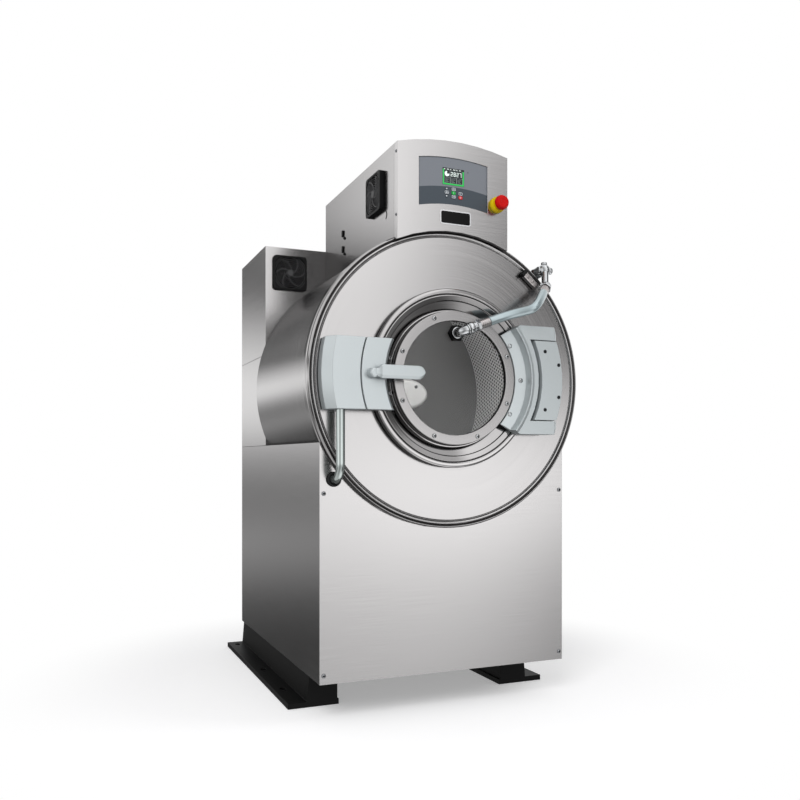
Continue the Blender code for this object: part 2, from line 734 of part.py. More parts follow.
def front_panel(clearance):
    panel = block("front_panel", (-HALF_WIDTH, 0, CABINET_BOTTOM), (HALF_WIDTH, SHEET, CABINET_TOP),
                  STAINLESS, from_panel())
    cut(panel, clearance)
    inset = PANEL_RETURN + SHEET
    lip = block("front_panel_lip", (-HALF_WIDTH + inset, 0, CABINET_BOTTOM),
                (HALF_WIDTH - inset, PANEL_RETURN, CABINET_BOTTOM + SHEET), None, from_panel())
    cut(panel, lip, "UNION")
    hole = extruded("conduit_hole", bore(CONDUIT_RADIUS, (-CONDUIT_X, DRUM_Z - CONDUIT_DROP)),
                    -OVERRUN, OVERRUN, "Y", None, from_panel())
    return cut(panel, hole)


def side_panel(name, side, clearance):
    front = SHEET + GAP
    back = CABINET_DEPTH - SHEET - GAP
    outer = side * HALF_WIDTH
    inner = side * (HALF_WIDTH - PANEL_RETURN)
    skin = side * (HALF_WIDTH - SHEET)
    panel = block(name, (min(outer, inner), front, CABINET_BOTTOM), (max(outer, inner), back, CABINET_TOP),
                  STAINLESS, from_panel())
    far = inner - side * OVERRUN
    void = block(name + "_void", (min(skin, far), front + SHEET, CABINET_BOTTOM + SHEET),
                 (max(skin, far), back - SHEET, CABINET_TOP - SHEET), None, from_panel())
    cut(panel, void)
    return cut(panel, clearance)


def vent_rows(panel, height, name):
    for side in (-1, 1):
        for row in range(VENT_COUNT):
            middle = side * VENT_SPREAD / 2
            low = height + row * (VENT_HEIGHT + VENT_SPACE)
            slot = block(name, (middle - VENT_WIDTH / 2, CABINET_DEPTH - OVERRUN, low),
                         (middle + VENT_WIDTH / 2, CABINET_DEPTH + OVERRUN, low + VENT_HEIGHT), None,
                         from_panel())
            cut(panel, slot)


def rear_panel():
    panel = block("rear_panel", (-HALF_WIDTH, CABINET_DEPTH - SHEET, CABINET_BOTTOM),
                  (HALF_WIDTH, CABINET_DEPTH, DRIVE_BOX_TOP), STAINLESS, from_panel())
    vent_rows(panel, CABINET_BOTTOM + LOWER_VENT_RISE, "lower_vent")
    vent_rows(panel, DRIVE_BOX_SEAM + UPPER_VENT_RISE, "upper_vent")
    outline = bore(DRAIN_RADIUS, (-DRAIN_RUN_X, DRAIN_RUN_Z))
    hole = extruded("drain_hole", outline, CABINET_DEPTH - OVERRUN, CABINET_DEPTH + OVERRUN, "Y", None,
                    from_panel())
    return cut(panel, hole)


def drive_box_hole():
    outline = circle(DRIVE_BOX_HOLE_RADIUS, (0, DRUM_Z), 2 * SMALL_STEPS)
    return extruded("drive_box_hole", outline, DRIVE_BOX_FRONT - OVERRUN, DRIVE_BOX_FRONT + OVERRUN, "Y",
                    None, from_panel())


def drive_box_part(name, bottom, top, roof, hole):
    """A sheet cover with a front wall and two sides, and a roof if it is the upper one."""
    back = CABINET_DEPTH - SHEET - GAP
    cover = block(name, (-HALF_WIDTH, DRIVE_BOX_FRONT, bottom), (HALF_WIDTH, back, top), STAINLESS,
                  from_panel())
    ceiling = top - SHEET if roof else top + OVERRUN
    void = block(name + "_void", (-HALF_WIDTH + SHEET, DRIVE_BOX_FRONT + SHEET, bottom - OVERRUN),
                 (HALF_WIDTH - SHEET, back + OVERRUN, ceiling), None, from_panel())
    cut(cover, void)
    return cut(cover, hole)


def cabinet(clearance):
    front_panel(clearance)
    side_panel("side_panel_left", -1, clearance)
    side_panel("side_panel_right", 1, clearance)
    rear_panel()
    hole = drive_box_hole()
    drive_box_part("rear_housing_lower", CABINET_TOP + GAP, DRIVE_BOX_SEAM, False, hole)
    upper = drive_box_part("rear_housing_upper", DRIVE_BOX_SEAM + GAP, DRIVE_BOX_TOP, True, hole)
    fan_hole = extruded("drive_fan_hole", circle(FAN_OPENING_RADIUS, (-DRIVE_FAN_X, DRIVE_FAN_Z)),
                        DRIVE_BOX_FRONT - OVERRUN, DRIVE_BOX_FRONT + OVERRUN, "Y", None, from_panel())
    cut(upper, fan_hole)
    run_x, run_z = spray_run_point()
    pipe_hole = extruded("spray_pipe_hole", bore(SPRAY_TUBE_RADIUS, (run_x, DRUM_Z + run_z)),
                         DRIVE_BOX_FRONT - OVERRUN, DRIVE_BOX_FRONT + OVERRUN, "Y", None, from_panel())
    cut(upper, pipe_hole)


# Tub, head and door seat

def outer_tub():
    inner = TUB_RADIUS - TUB_WALL
    wall = TUB_BACK - TUB_BACK_THICKNESS
    profile = [(TUB_RADIUS, TUB_FRONT), (TUB_RADIUS, TUB_BACK), (TUB_BACK_HOLE, TUB_BACK),
               (TUB_BACK_HOLE, wall), (inner, wall), (inner, TUB_FRONT)]
    tub = turned("outer_tub", profile, STAINLESS, at_drum())
    spigot = extruded("drain_spigot_hole", bore(DRAIN_RADIUS, (0, DRAIN_Y)),
                      -TUB_RADIUS - OVERRUN, -TUB_RADIUS + TUB_WALL + OVERRUN, "Z", None, at_drum())
    return cut(tub, spigot)


def front_head():
    """Pressed plate: flange, bead near the rim, flat, and the turned-in door collar."""
    sheet = HEAD_SHEET
    back = TUB_FRONT - GAP
    bead_out = TUB_RADIUS - sheet
    bead_in = bead_out - HEAD_BEAD_WIDTH
    front = [(TUB_RADIUS, back), (TUB_RADIUS, -HEAD_BEAD_PROUD + sheet), (bead_out, -HEAD_BEAD_PROUD),
             (bead_in, -HEAD_PROUD),
             (DOORWAY_RADIUS + COLLAR_FILLET / 2, -HEAD_PROUD),
             (DOORWAY_RADIUS, -HEAD_PROUD + COLLAR_FILLET), (DOORWAY_RADIUS, COLLAR_END)]
    inner_flat = -HEAD_PROUD + sheet
    rear = [(DOORWAY_RADIUS + sheet, COLLAR_END), (DOORWAY_RADIUS + sheet, inner_flat),
            (TUB_RADIUS - sheet, inner_flat), (TUB_RADIUS - sheet, back)]
    return turned("front_head", front + rear, STAINLESS, at_drum())


def rim_band():
    inner = TUB_RADIUS + GAP
    profile = [(RIM_RADIUS - RIM_EDGE, -RIM_PROUD), (RIM_RADIUS, -RIM_PROUD + RIM_EDGE),
               (RIM_RADIUS, RIM_LAP), (inner, RIM_LAP), (inner, -RIM_PROUD)]
    return turned("rim_band", profile, STAINLESS, at_drum())


def door_gasket():
    inner = DOORWAY_RADIUS + COLLAR_FILLET / 2
    back = -HEAD_PROUD - GAP
    front = -PAN_FLOOR_PROUD + DOOR_SHEET + GAP
    outer = inner + GASKET_WIDTH
    profile = [(inner, back), (outer, back), (outer - GASKET_WIDTH / 3, front), (inner, front)]
    return turned("door_gasket", profile, RUBBER, at_drum(), DOOR_STEPS)


def drain_valve():
    """Outlet pipe with two bends, and the box of its actuator under the tub."""
    corners = [(0, DRAIN_Y, TUB_BOTTOM), (0, DRAIN_Y, DRAIN_RUN_Z),
               (-DRAIN_RUN_X, DRAIN_Y + DRAIN_RUN_STEP, DRAIN_RUN_Z),
               (-DRAIN_RUN_X, CABINET_DEPTH + DRAIN_TAIL, DRAIN_RUN_Z)]
    path = bent_path(corners, DRAIN_BEND, 3)
    valve = swept("drain_valve", path, [DRAIN_RADIUS] * len(path), BLACK_PLASTIC, from_panel())
    half = ACTUATOR_SIZE / 2
    middle = TUB_BOTTOM - DRAIN_BODY_DROP / 2
    body = block("drain_actuator", (-half, DRAIN_Y - half, middle - half / 2),
                 (half, DRAIN_Y + half, middle + half / 2), None, from_panel())
    return cut(valve, body, "UNION")


def inlet_valves():
    start = CABINET_DEPTH + GAP
    body = block("inlet_valves", (INLET_X - INLET_WIDTH / 2, start, INLET_Z - INLET_HEIGHT / 2),
                 (INLET_X + INLET_WIDTH / 2, start + INLET_DEPTH, INLET_Z + INLET_HEIGHT / 2),
                 BLACK_PLASTIC, from_panel())
    for index in (-1, 0, 1):
        outline = circle(INLET_STUB_RADIUS, (INLET_X + index * INLET_PITCH, INLET_Z), 12)
        stub = extruded("inlet_stub", outline, start + INLET_DEPTH / 2, start + INLET_DEPTH + INLET_STUB,
                        "Y", None, from_panel())
        cut(body, stub, "UNION")
    return body


# Bearings and drive

def bearing_housing():
    front = DRIVE_BOX_FRONT + GAP
    flange = front + FLANGE_THICKNESS
    seat = BEARING_RADIUS + GAP
    profile = [(FLANGE_RADIUS, front), (FLANGE_RADIUS, flange), (HUB_RADIUS + GUSSET_THICKNESS, flange),
               (HUB_RADIUS, flange + GUSSET_THICKNESS), (HUB_RADIUS, HUB_BACK), (seat, HUB_BACK),
               (seat, HUB_BACK - BEARING_DEPTH - GAP), (HUB_BORE, HUB_BACK - BEARING_DEPTH - GAP),
               (HUB_BORE, flange + BEARING_DEPTH + GAP), (seat, flange + BEARING_DEPTH + GAP), (seat, front)]
    hub = turned("bearing_housing", profile, IRON, at_drum(), INNER_STEPS)
    inner = (HUB_RADIUS + BEARING_RADIUS) / 2
    outline = [(inner, front + FLANGE_THICKNESS / 2),
               (FLANGE_RADIUS - GUSSET_THICKNESS, front + FLANGE_THICKNESS / 2),
               (FLANGE_RADIUS - GUSSET_THICKNESS, flange + GUSSET_THICKNESS),
               (HUB_RADIUS, HUB_BACK - GUSSET_THICKNESS), (inner, HUB_BACK - GUSSET_THICKNESS)]
    for index in range(GUSSET_COUNT):
        gusset = extruded("gusset", outline, -GUSSET_THICKNESS / 2, GUSSET_THICKNESS / 2, "Z", None,
                          at_drum())
        gusset.rotation_euler = (0, math.tau * (index + 0.5) / GUSSET_COUNT, 0)
        cut(hub, gusset, "UNION")
    return hub


def bearing(name, start):
    inner = (SHAFT_RADIUS + GAP) / math.cos(math.pi / INNER_STEPS)
    profile = [(BEARING_RADIUS, start), (BEARING_RADIUS, start + BEARING_DEPTH - GAP),
               (inner, start + BEARING_DEPTH - GAP), (inner, start)]
    return turned(name, profile, BRIGHT, at_drum(), INNER_STEPS)


def drum_shaft():
    start = SPIDER_HUB_BACK + GAP
    profile = [(0, start), (SHAFT_FLANGE_RADIUS, start), (SHAFT_FLANGE_RADIUS, start + SHAFT_FLANGE),
               (SHAFT_RADIUS, start + SHAFT_FLANGE), (SHAFT_RADIUS, SHAFT_END), (0, SHAFT_END)]
    return turned("drum_shaft", profile, BRIGHT, at_drum(), INNER_STEPS)


def drum_pulley():
    """Grooved rim, web with round windows and a hub bored for the shaft."""
    back = PULLEY_FRONT + PULLEY_WIDTH
    inner = PULLEY_RADIUS - PULLEY_RIM
    web = (PULLEY_FRONT + back - PULLEY_WEB) / 2
    seat = SHAFT_RADIUS + GAP
    rim = [(PULLEY_RADIUS, PULLEY_FRONT), (PULLEY_RADIUS, PULLEY_FRONT + BELT_INSET - GAP),
           (PULLEY_RADIUS - BELT_THICKNESS, PULLEY_FRONT + BELT_INSET - GAP),
           (PULLEY_RADIUS - BELT_THICKNESS, back - BELT_INSET + GAP),
           (PULLEY_RADIUS, back - BELT_INSET + GAP), (PULLEY_RADIUS, back)]
    rear = [(inner, back), (inner, web + PULLEY_WEB), (seat, web + PULLEY_WEB)]
    front = [(seat, PULLEY_FRONT), (PULLEY_HUB_RADIUS, PULLEY_FRONT), (PULLEY_HUB_RADIUS, web), (inner, web),
             (inner, PULLEY_FRONT)]
    pulley = turned("drum_pulley", rim + rear + front, IRON, at_drum(), INNER_STEPS)
    middle = (inner + PULLEY_HUB_RADIUS) / 2
    for index in range(PULLEY_WINDOWS):
        angle = math.tau * (index + 0.25) / PULLEY_WINDOWS
        outline = circle(PULLEY_WINDOW_RADIUS, (middle * math.cos(angle), middle * math.sin(angle)), 8)
        window = extruded("pulley_window", outline, PULLEY_FRONT - OVERRUN, back + OVERRUN, "Y", None,
                          at_drum())
        cut(pulley, window)
    return pulley


def motor_pulley():
    """The small pulley with the motor shaft that carries it."""
    back = PULLEY_FRONT + PULLEY_WIDTH
    floor = MOTOR_PULLEY_RADIUS - BELT_THICKNESS
    start = MOTOR_BACK + GAP
    profile = [(0, start), (MOTOR_SHAFT_RADIUS, start), (MOTOR_SHAFT_RADIUS, PULLEY_FRONT),
               (MOTOR_PULLEY_RADIUS, PULLEY_FRONT), (MOTOR_PULLEY_RADIUS, PULLEY_FRONT + BELT_INSET - GAP),
               (floor, PULLEY_FRONT + BELT_INSET - GAP), (floor, back - BELT_INSET + GAP),
               (MOTOR_PULLEY_RADIUS, back - BELT_INSET + GAP), (MOTOR_PULLEY_RADIUS, back), (0, back)]
    return turned("motor_pulley", profile, IRON, from_panel(MOTOR_X, 0, MOTOR_Z), SMALL_STEPS)


def belt_outline(grow, steps=16):
    """The loop round both pulleys, as (x, z) from the drum axis, grown outwards.

    Its flats clear the pulleys, so its corners stand a little further out.
    """
    span = Vector((MOTOR_X, MOTOR_Z - DRUM_Z))
    heading = math.atan2(span.y, span.x)
    lean = math.acos((PULLEY_RADIUS - MOTOR_PULLEY_RADIUS) / span.length)
    large = (PULLEY_RADIUS - BELT_THICKNESS + GAP) / math.cos((math.pi - lean) / steps) + grow
    small = (MOTOR_PULLEY_RADIUS - BELT_THICKNESS + GAP) / math.cos(lean / (steps // 2)) + grow
    upper = arc(large, heading + lean, heading + math.tau - lean, steps)
    lower = arc(small, heading - lean, heading + lean, steps // 2, (span.x, span.y))
    return upper + lower


def drive_belt():
    start = PULLEY_FRONT + BELT_INSET
    end = PULLEY_FRONT + PULLEY_WIDTH - BELT_INSET
    belt = extruded("drive_belt", belt_outline(BELT_THICKNESS), start, end, "Y", RUBBER, at_drum())
    inside = extruded("belt_inside", belt_outline(0), start - OVERRUN, end + OVERRUN, "Y", None, at_drum())
    return cut(belt, inside)


def motor():
    """Finned motor body on two feet."""
    length = MOTOR_BACK - MOTOR_FRONT
    bell = length / 6
    profile = [(0, MOTOR_FRONT), (MOTOR_RADIUS * 2 / 3, MOTOR_FRONT),
               (MOTOR_RADIUS - MOTOR_FIN, MOTOR_FRONT + bell)]
    pitch = (length - 2 * bell) / (2 * MOTOR_FINS)
    for fin in range(MOTOR_FINS):
        edge = MOTOR_FRONT + bell + pitch * (2 * fin + 0.5)
        profile += [(MOTOR_RADIUS - MOTOR_FIN, edge), (MOTOR_RADIUS, edge), (MOTOR_RADIUS, edge + pitch),
                    (MOTOR_RADIUS - MOTOR_FIN, edge + pitch)]
    profile += [(MOTOR_RADIUS - MOTOR_FIN, MOTOR_BACK - bell), (MOTOR_RADIUS * 2 / 3, MOTOR_BACK),
                (0, MOTOR_BACK)]
    body = turned("motor", profile, MOTOR_GREY, from_panel(MOTOR_X, 0, MOTOR_Z), INNER_STEPS)
    foot = block("motor_foot", (MOTOR_X - MOTOR_RADIUS * 2 / 3, MOTOR_FRONT + bell, SHELF_TOP + GAP),
                 (MOTOR_X + MOTOR_RADIUS * 2 / 3, MOTOR_BACK - bell, MOTOR_Z - MOTOR_RADIUS / 2), None,
                 from_panel())
    return cut(body, foot, "UNION")


# Basket

def basket_drum():
    """Perforated wall and front lip as one sheet, thickened inwards."""
    wall_end = BASKET_BACK
    wall_start = BASKET_FRONT + BASKET_CORNER
    pitch = (wall_end - wall_start) / (HOLE_ROWS + 1)
    stations = [wall_start + pitch * (row + 0.5) for row in range(HOLE_ROWS + 1)]
    profile = [(BASKET_RADIUS, wall_end)] + [(BASKET_RADIUS, y) for y in reversed(stations)]
    profile += [(BASKET_RADIUS, wall_start), (BASKET_RADIUS - BASKET_CORNER, BASKET_FRONT),
                (BASKET_LIP_RADIUS + BASKET_CORNER / 2, BASKET_FRONT),
                (BASKET_LIP_RADIUS, BASKET_FRONT + BASKET_CORNER)]
    bm = bmesh.new()
    points = [bm.verts.new((radius, y, 0)) for radius, y in profile]
    edges = [bm.edges.new(pair) for pair in zip(points, points[1:])]
    bmesh.ops.spin(bm, geom=points + edges, axis=(0, 1, 0), angle=math.tau, steps=HOLE_COLUMNS,
                   use_merge=True)
    bmesh.ops.remove_doubles(bm, verts=bm.verts, dist=MERGE)
    chosen = [face for face in bm.faces if is_perforated(face, stations, pitch)]
    cell = math.tau * BASKET_RADIUS / HOLE_COLUMNS
    bmesh.ops.inset_individual(bm, faces=chosen, thickness=cell * HOLE_MARGIN_SHARE)
    bmesh.ops.delete(bm, geom=chosen, context="FACES")
    bmesh.ops.recalc_face_normals(bm, faces=bm.faces)
    outward = sum(face.normal.dot(Vector((face.calc_center_median().x, 0, face.calc_center_median().z)))
                  for face in bm.faces)
    if outward < 0:
        bmesh.ops.reverse_faces(bm, faces=bm.faces)
    mesh = bpy.data.meshes.new("basket_drum")
    bm.to_mesh(mesh)
    bm.free()
    mesh.materials.append(material(STAINLESS))
    drum = bpy.data.objects.new("basket_drum", mesh)
    drum.location = at_drum()
    bpy.context.scene.collection.objects.link(drum)
    skin = drum.modifiers.new("sheet", "SOLIDIFY")
    skin.thickness = BASKET_WALL
    skin.offset = -1
    return drum


def is_perforated(face, stations, pitch):
    """Every second cell of the wall between the first and the last station."""
    middle = face.calc_center_median()
    if not stations[0] < middle.y < stations[-1]:
        return False
    row = int((middle.y - stations[0]) / pitch)
    angle = math.atan2(middle.z, middle.x) % math.tau
    column = int(angle / math.tau * HOLE_COLUMNS)
    return (row + column) % 2 == 0


def basket_spider():
    """Back disc of the basket with its hub and three box arms."""
    start = BASKET_BACK + GAP
    face = start + SPIDER_DISC
    profile = [(0, start), (BASKET_RADIUS, start), (BASKET_RADIUS, face), (SPIDER_HUB_RADIUS, face),
               (SPIDER_HUB_RADIUS, SPIDER_HUB_BACK), (0, SPIDER_HUB_BACK)]
    spider = turned("basket_spider", profile, STAINLESS, at_drum())
    half = SPIDER_ARM_WIDTH / 2
    root = face - SPIDER_DISC / 2
    top = start + SPIDER_ARM_HEIGHT
    outline = [(0, root), (SPIDER_ARM_REACH, root), (SPIDER_ARM_REACH, face + SPIDER_DISC),
               (SPIDER_HUB_RADIUS, top), (0, top)]
    for index in range(SPIDER_ARMS):
        arm = extruded("spider_arm", outline, -half, half, "Z", None, at_drum())
        arm.rotation_euler = (0, math.tau * index / SPIDER_ARMS, 0)
        cut(spider, arm, "UNION")
    return spider


def lifter_outline():
    """Rib section as (x, z) from the drum axis: its foot on the wall, its top towards the axis."""
    seat = BASKET_INSIDE - GAP
    foot = math.asin(LIFTER_BASE / 2 / seat)
    base = arc(seat, -math.pi / 2 - foot, -math.pi / 2 + foot, 4)
    crest = -seat + LIFTER_HEIGHT
    half = LIFTER_TOP / 2
    crown = arc(half, 0, math.pi, 6, (0, crest - half))
    return base + crown


def lifter(name, angle):
    start = BASKET_FRONT + LIFTER_END_CLEARANCE
    rib = extruded(name, lifter_outline(), start, BASKET_BACK - GAP, "Y", STAINLESS, at_drum())
    rib.rotation_euler = (0, angle, 0)
    return rib


def basket():
    basket_drum()
    basket_spider()
    for index in range(LIFTER_COUNT):
        lifter("lifter_%d" % (index + 1), math.tau * (index + 0.5) / LIFTER_COUNT)


# Door

def door_pan():
    """Spun pan: rolled rim, sloping wall and the flange that the glass lies on."""
    sheet = DOOR_SHEET
    rim = DOOR_RADIUS
    crest = rim - DOOR_BEAD_WIDTH / 2
    foot = rim - DOOR_BEAD_WIDTH
    flange = GLASS_RADIUS + sheet
    inner = GLASS_CLEAR_RADIUS
    front = [(rim, -DOOR_BACK), (rim, -DOOR_BEAD_PROUD + sheet), (rim - sheet, -DOOR_BEAD_PROUD),
             (crest, -DOOR_BEAD_PROUD), (foot, -DOOR_BEAD_PROUD + 2 * sheet),
             (PAN_FLOOR_RADIUS, -PAN_FLOOR_PROUD), (flange, -PAN_FLANGE_PROUD), (inner, -PAN_FLANGE_PROUD)]
    rear = [(inner, -PAN_FLANGE_PROUD + sheet), (PAN_FLOOR_RADIUS, -PAN_FLOOR_PROUD + sheet),
            (rim - sheet, -DOOR_BEAD_PROUD + sheet), (rim - sheet, -DOOR_BACK)]
    return turned("door_pan", front + rear, STAINLESS, at_drum(), DOOR_STEPS)


def door_glass():
    profile = [(0, -PAN_FLANGE_PROUD - GAP), (GLASS_RADIUS, -PAN_FLANGE_PROUD - GAP),
               (GLASS_RADIUS, -GLASS_FRONT), (0, -GLASS_FRONT)]
    glass = turned("door_glass", profile, GLASS, at_drum(), DOOR_STEPS)
    hole = extruded("spray_hole", bore(SPRAY_TUBE_RADIUS, (0, SPRAY_Z)), -GLASS_FRONT - OVERRUN, 0, "Y", None,
                    at_drum())
    return cut(glass, hole)


def door_clamp_ring():
    back = -GLASS_FRONT - GAP
    edge = (CLAMP_PROUD - GLASS_FRONT) / 3
    profile = [(GLASS_CLEAR_RADIUS, back), (CLAMP_RADIUS, back), (CLAMP_RADIUS, -CLAMP_PROUD + edge),
               (CLAMP_RADIUS - edge, -CLAMP_PROUD), (GLASS_CLEAR_RADIUS + edge, -CLAMP_PROUD),
               (GLASS_CLEAR_RADIUS, -CLAMP_PROUD + edge)]
    return turned("door_clamp_ring", profile, STAINLESS, at_drum(), DOOR_STEPS)


def left_sector(inner, outer, half_height, steps=6):
    """Outline between two arcs about the drum axis and two level edges, on the left, as (x, z)."""
    near = math.asin(half_height / inner)
    far = math.asin(half_height / outer)
    first = arc(inner, math.pi - near, math.pi + near, steps)
    second = arc(outer, math.pi + far, math.pi - far, steps)
    return first + second


def latch_cover():
    """Hollow casting on the door that carries the handle."""
    back = -DOOR_BEAD_PROUD - GAP
    outline = left_sector(COVER_INNER_RADIUS, COVER_SEAM_RADIUS - SEAM_GAP, COVER_HALF_HEIGHT)
    cover = extruded("latch_cover", outline, -CASTING_PROUD, back, "Y", CASTING, at_drum())
    rounded(cover, COVER_WALL / 2, 1, 60)
    pocket_outline = left_sector(COVER_INNER_RADIUS + COVER_WALL, COVER_SEAM_RADIUS - SEAM_GAP - COVER_WALL,
                                 COVER_HALF_HEIGHT - COVER_WALL)
    pocket = extruded("latch_pocket", pocket_outline, -CASTING_PROUD + COVER_WALL, back + OVERRUN, "Y", None,
                      at_drum())
    cut(cover, pocket)
    spindle = extruded("spindle_bore", bore(SPINDLE_RADIUS, (-HANDLE_X, 0)), -CASTING_PROUD - OVERRUN, 0,
                       "Y", None, at_drum())
    return cut(cover, spindle)


def handle_outline():
    """Lever outline about its pivot: a round boss, a neck and a wider round tip, as (x, z)."""
    half_turn = math.pi / 2
    boss = arc(HANDLE_BOSS_RADIUS, half_turn / 2, 4 * half_turn - half_turn / 2, 12)
    reach = HANDLE_REACH - HANDLE_TIP_RADIUS
    tip = arc(HANDLE_TIP_RADIUS, -half_turn, half_turn, 8, (reach, HANDLE_RISE))
    neck = HANDLE_BOSS_RADIUS * 2 / 3
    return boss + [(2 * HANDLE_BOSS_RADIUS, -neck)] + tip + [(2 * HANDLE_BOSS_RADIUS, neck)]


def door_handle():
    place = from_panel(-HANDLE_X, 0, DRUM_Z)
    lever = extruded("door_handle", handle_outline(), -HANDLE_FRONT, -HANDLE_BACK, "Y", CASTING, place)
    rounded(lever, HANDLE_THICKNESS / 4, 1, 60)
    neck = extruded("handle_neck", circle(HANDLE_BOSS_RADIUS * 2 / 3), -HANDLE_BACK - HANDLE_THICKNESS / 2,
                    -CASTING_PROUD - GAP, "Y", None, place)
    cut(lever, neck, "UNION")
    socket = extruded("handle_socket", bore(SPINDLE_RADIUS), -HANDLE_BACK - HANDLE_THICKNESS / 2,
                      -CASTING_PROUD + OVERRUN, "Y", None, place)
    return cut(lever, socket)


def latch_cam():
    """Spindle with the cam disc behind the latch cover, notched for the lock."""
    place = from_panel(-HANDLE_X, 0, DRUM_Z)
    back = -DOOR_BEAD_PROUD - CAM_THICKNESS / 2
    front = back - CAM_THICKNESS
    tip = -HANDLE_BACK - HANDLE_THICKNESS / 2 + GAP
    profile = [(0, back), (CAM_RADIUS, back), (CAM_RADIUS, front), (SPINDLE_RADIUS, front),
               (SPINDLE_RADIUS, tip), (0, tip)]
    cam = turned("latch_cam", profile, BRIGHT, place, SMALL_STEPS)
    notch = block("cam_notch", (-CAM_RADIUS - OVERRUN, front - GAP, -CAM_THICKNESS / 2),
                  (-CAM_RADIUS + CAM_THICKNESS, back + OVERRUN, CAM_THICKNESS / 2), None, place)
    return cut(cam, notch)


def lock_housing():
    """Fixed casting left of the latch seam, bevelled on its outer side."""
    plan = [(-LOCK_LEFT, -RIM_PROUD - GAP), (-LOCK_LEFT, -CASTING_PROUD + LOCK_BEVEL_DEPTH),
            (-LOCK_LEFT + LOCK_BEVEL_WIDTH, -CASTING_PROUD), (-COVER_INNER_RADIUS, -CASTING_PROUD),
            (-COVER_INNER_RADIUS, -RIM_PROUD - GAP)]
    casting = extruded("lock_housing", plan, -COVER_HALF_HEIGHT, COVER_HALF_HEIGHT, "Z", CASTING, at_drum())
    seam = circle(COVER_SEAM_RADIUS, (0, 0), 2 * ROUND_STEPS)
    clear = extruded("seam_clearance", seam, -CASTING_PROUD - OVERRUN, 0, "Y", None, at_drum())
    cut(casting, clear)
    rounded(casting, COVER_WALL / 4, 1, 30)
    return casting


def hinge_outline():
    """Outer shape of the hinge casting in front view, as (x, z) from the drum axis."""
    half = HINGE_HALF_HEIGHT
    far = math.asin(half / HINGE_OUTER_RADIUS)
    side = arc(HINGE_OUTER_RADIUS, -far, far, 8)
    shoulder = HINGE_ARM_RADIUS
    corner = (HINGE_ARM_RADIUS * HINGE_CORNER_IN_SHARE, half * HINGE_CORNER_RISE_SHARE)
    return side + [(shoulder, half), corner, (corner[0], -corner[1]), (shoulder, -half)]


def pin_cutter():
    outline = bore(HINGE_PIN_RADIUS, (HINGE_X, -HINGE_PROUD))
    return extruded("pin_clearance", outline, -HINGE_HALF_HEIGHT - OVERRUN, HINGE_HALF_HEIGHT + OVERRUN,
                    "Z", None, at_drum())


def hinge_arm(pin):
    """Casting on the door: sloping wing, two ribs, and a lug above and below the fixed block."""
    back = -DOOR_BEAD_PROUD - GAP
    wing = HINGE_ARM_RADIUS
    rib = DOOR_RADIUS - DOOR_BEAD_WIDTH * 3 / 2
    profile = [(wing, back), (wing, -CLAMP_PROUD - GAP), (rib, -HINGE_PROUD - GAP),
               (rib + COVER_WALL / 2, -ARM_RIB_PROUD), (rib + COVER_WALL, -ARM_RIB_PROUD),
               (rib + 2 * COVER_WALL, -ARM_FACE_PROUD), (HINGE_OUTER_RADIUS + OVERRUN, -ARM_FACE_PROUD),
               (HINGE_OUTER_RADIUS + OVERRUN, -RIM_PROUD), (DOOR_RADIUS + SEAM_GAP, -RIM_PROUD),
               (DOOR_RADIUS + SEAM_GAP, back)]
    arm = turned_sector("hinge_arm", profile, CASTING, at_drum(), 0, HINGE_SWEEP, 17)
    front = extruded("hinge_front_view", hinge_outline(), -CASTING_PROUD - OVERRUN, 0, "Y", None, at_drum())
    cut(arm, front, "INTERSECT")
    reach = HINGE_LUG_REACH
    eye = arc(reach, -math.pi / 2, math.pi / 2, 8, (HINGE_X, -HINGE_PROUD))
    nose = -CASTING_PROUD - OVERRUN
    plan = [(0, nose), (HINGE_X, nose)] + eye + [(0, -HINGE_PROUD + reach)]
    above = extruded("hinge_plan_view", plan, -HINGE_HALF_HEIGHT - OVERRUN, HINGE_HALF_HEIGHT + OVERRUN,
                     "Z", None, at_drum())
    cut(arm, above, "INTERSECT")
    half = HINGE_BLOCK_HALF_HEIGHT + SEAM_GAP
    far = HINGE_OUTER_RADIUS + 2 * OVERRUN
    near = math.asin(half / HINGE_SEAM_RADIUS)
    room = arc(HINGE_SEAM_RADIUS, near, -near, 7) + [(far, -half), (far, half)]
    gap_for_block = extruded("hinge_block_room", room, -CASTING_PROUD - OVERRUN, 0, "Y", None, at_drum())
    cut(arm, gap_for_block)
    return cut(arm, pin)


def hinge_block(pin):
    """Fixed block between the lugs, drawn in towards its face so that the arm can swing past."""
    back = -HEAD_PROUD - GAP
    near = DOOR_RADIUS + SEAM_GAP + GAP
    draft = HINGE_DRAFT
    profile = [(near, back), (near + draft, -ARM_FACE_PROUD), (HINGE_OUTER_RADIUS - draft, -ARM_FACE_PROUD),
               (HINGE_OUTER_RADIUS, back)]
    body = turned_sector("hinge_block", profile, CASTING, at_drum(), 0, HINGE_BLOCK_SWEEP, 11)
    half = HINGE_BLOCK_HALF_HEIGHT
    limit = block("hinge_block_limit", (0, -CASTING_PROUD - OVERRUN, -half), (RIM_RADIUS, 0, half), None,
                  at_drum())
    cut(body, limit, "INTERSECT")
    return cut(body, pin)


def hinge_pin():
    """Pin with the two washers that fill the gaps between block and lugs."""
    half = HINGE_HALF_HEIGHT
    low = HINGE_BLOCK_HALF_HEIGHT + GAP
    high = HINGE_BLOCK_HALF_HEIGHT + SEAM_GAP - GAP
    pin = HINGE_PIN_RADIUS
    washer = HINGE_WASHER_RADIUS
    path = [-half, -high, -high, -low, -low, low, low, high, high, half]
    radii = [pin, pin, washer, washer, pin, pin, washer, washer, pin, pin]
    points = [(HINGE_X, -HINGE_PROUD, z) for z in path]
    return swept("hinge_pin", points, radii, BRIGHT, at_drum(), 10)


# Conduit and spray line

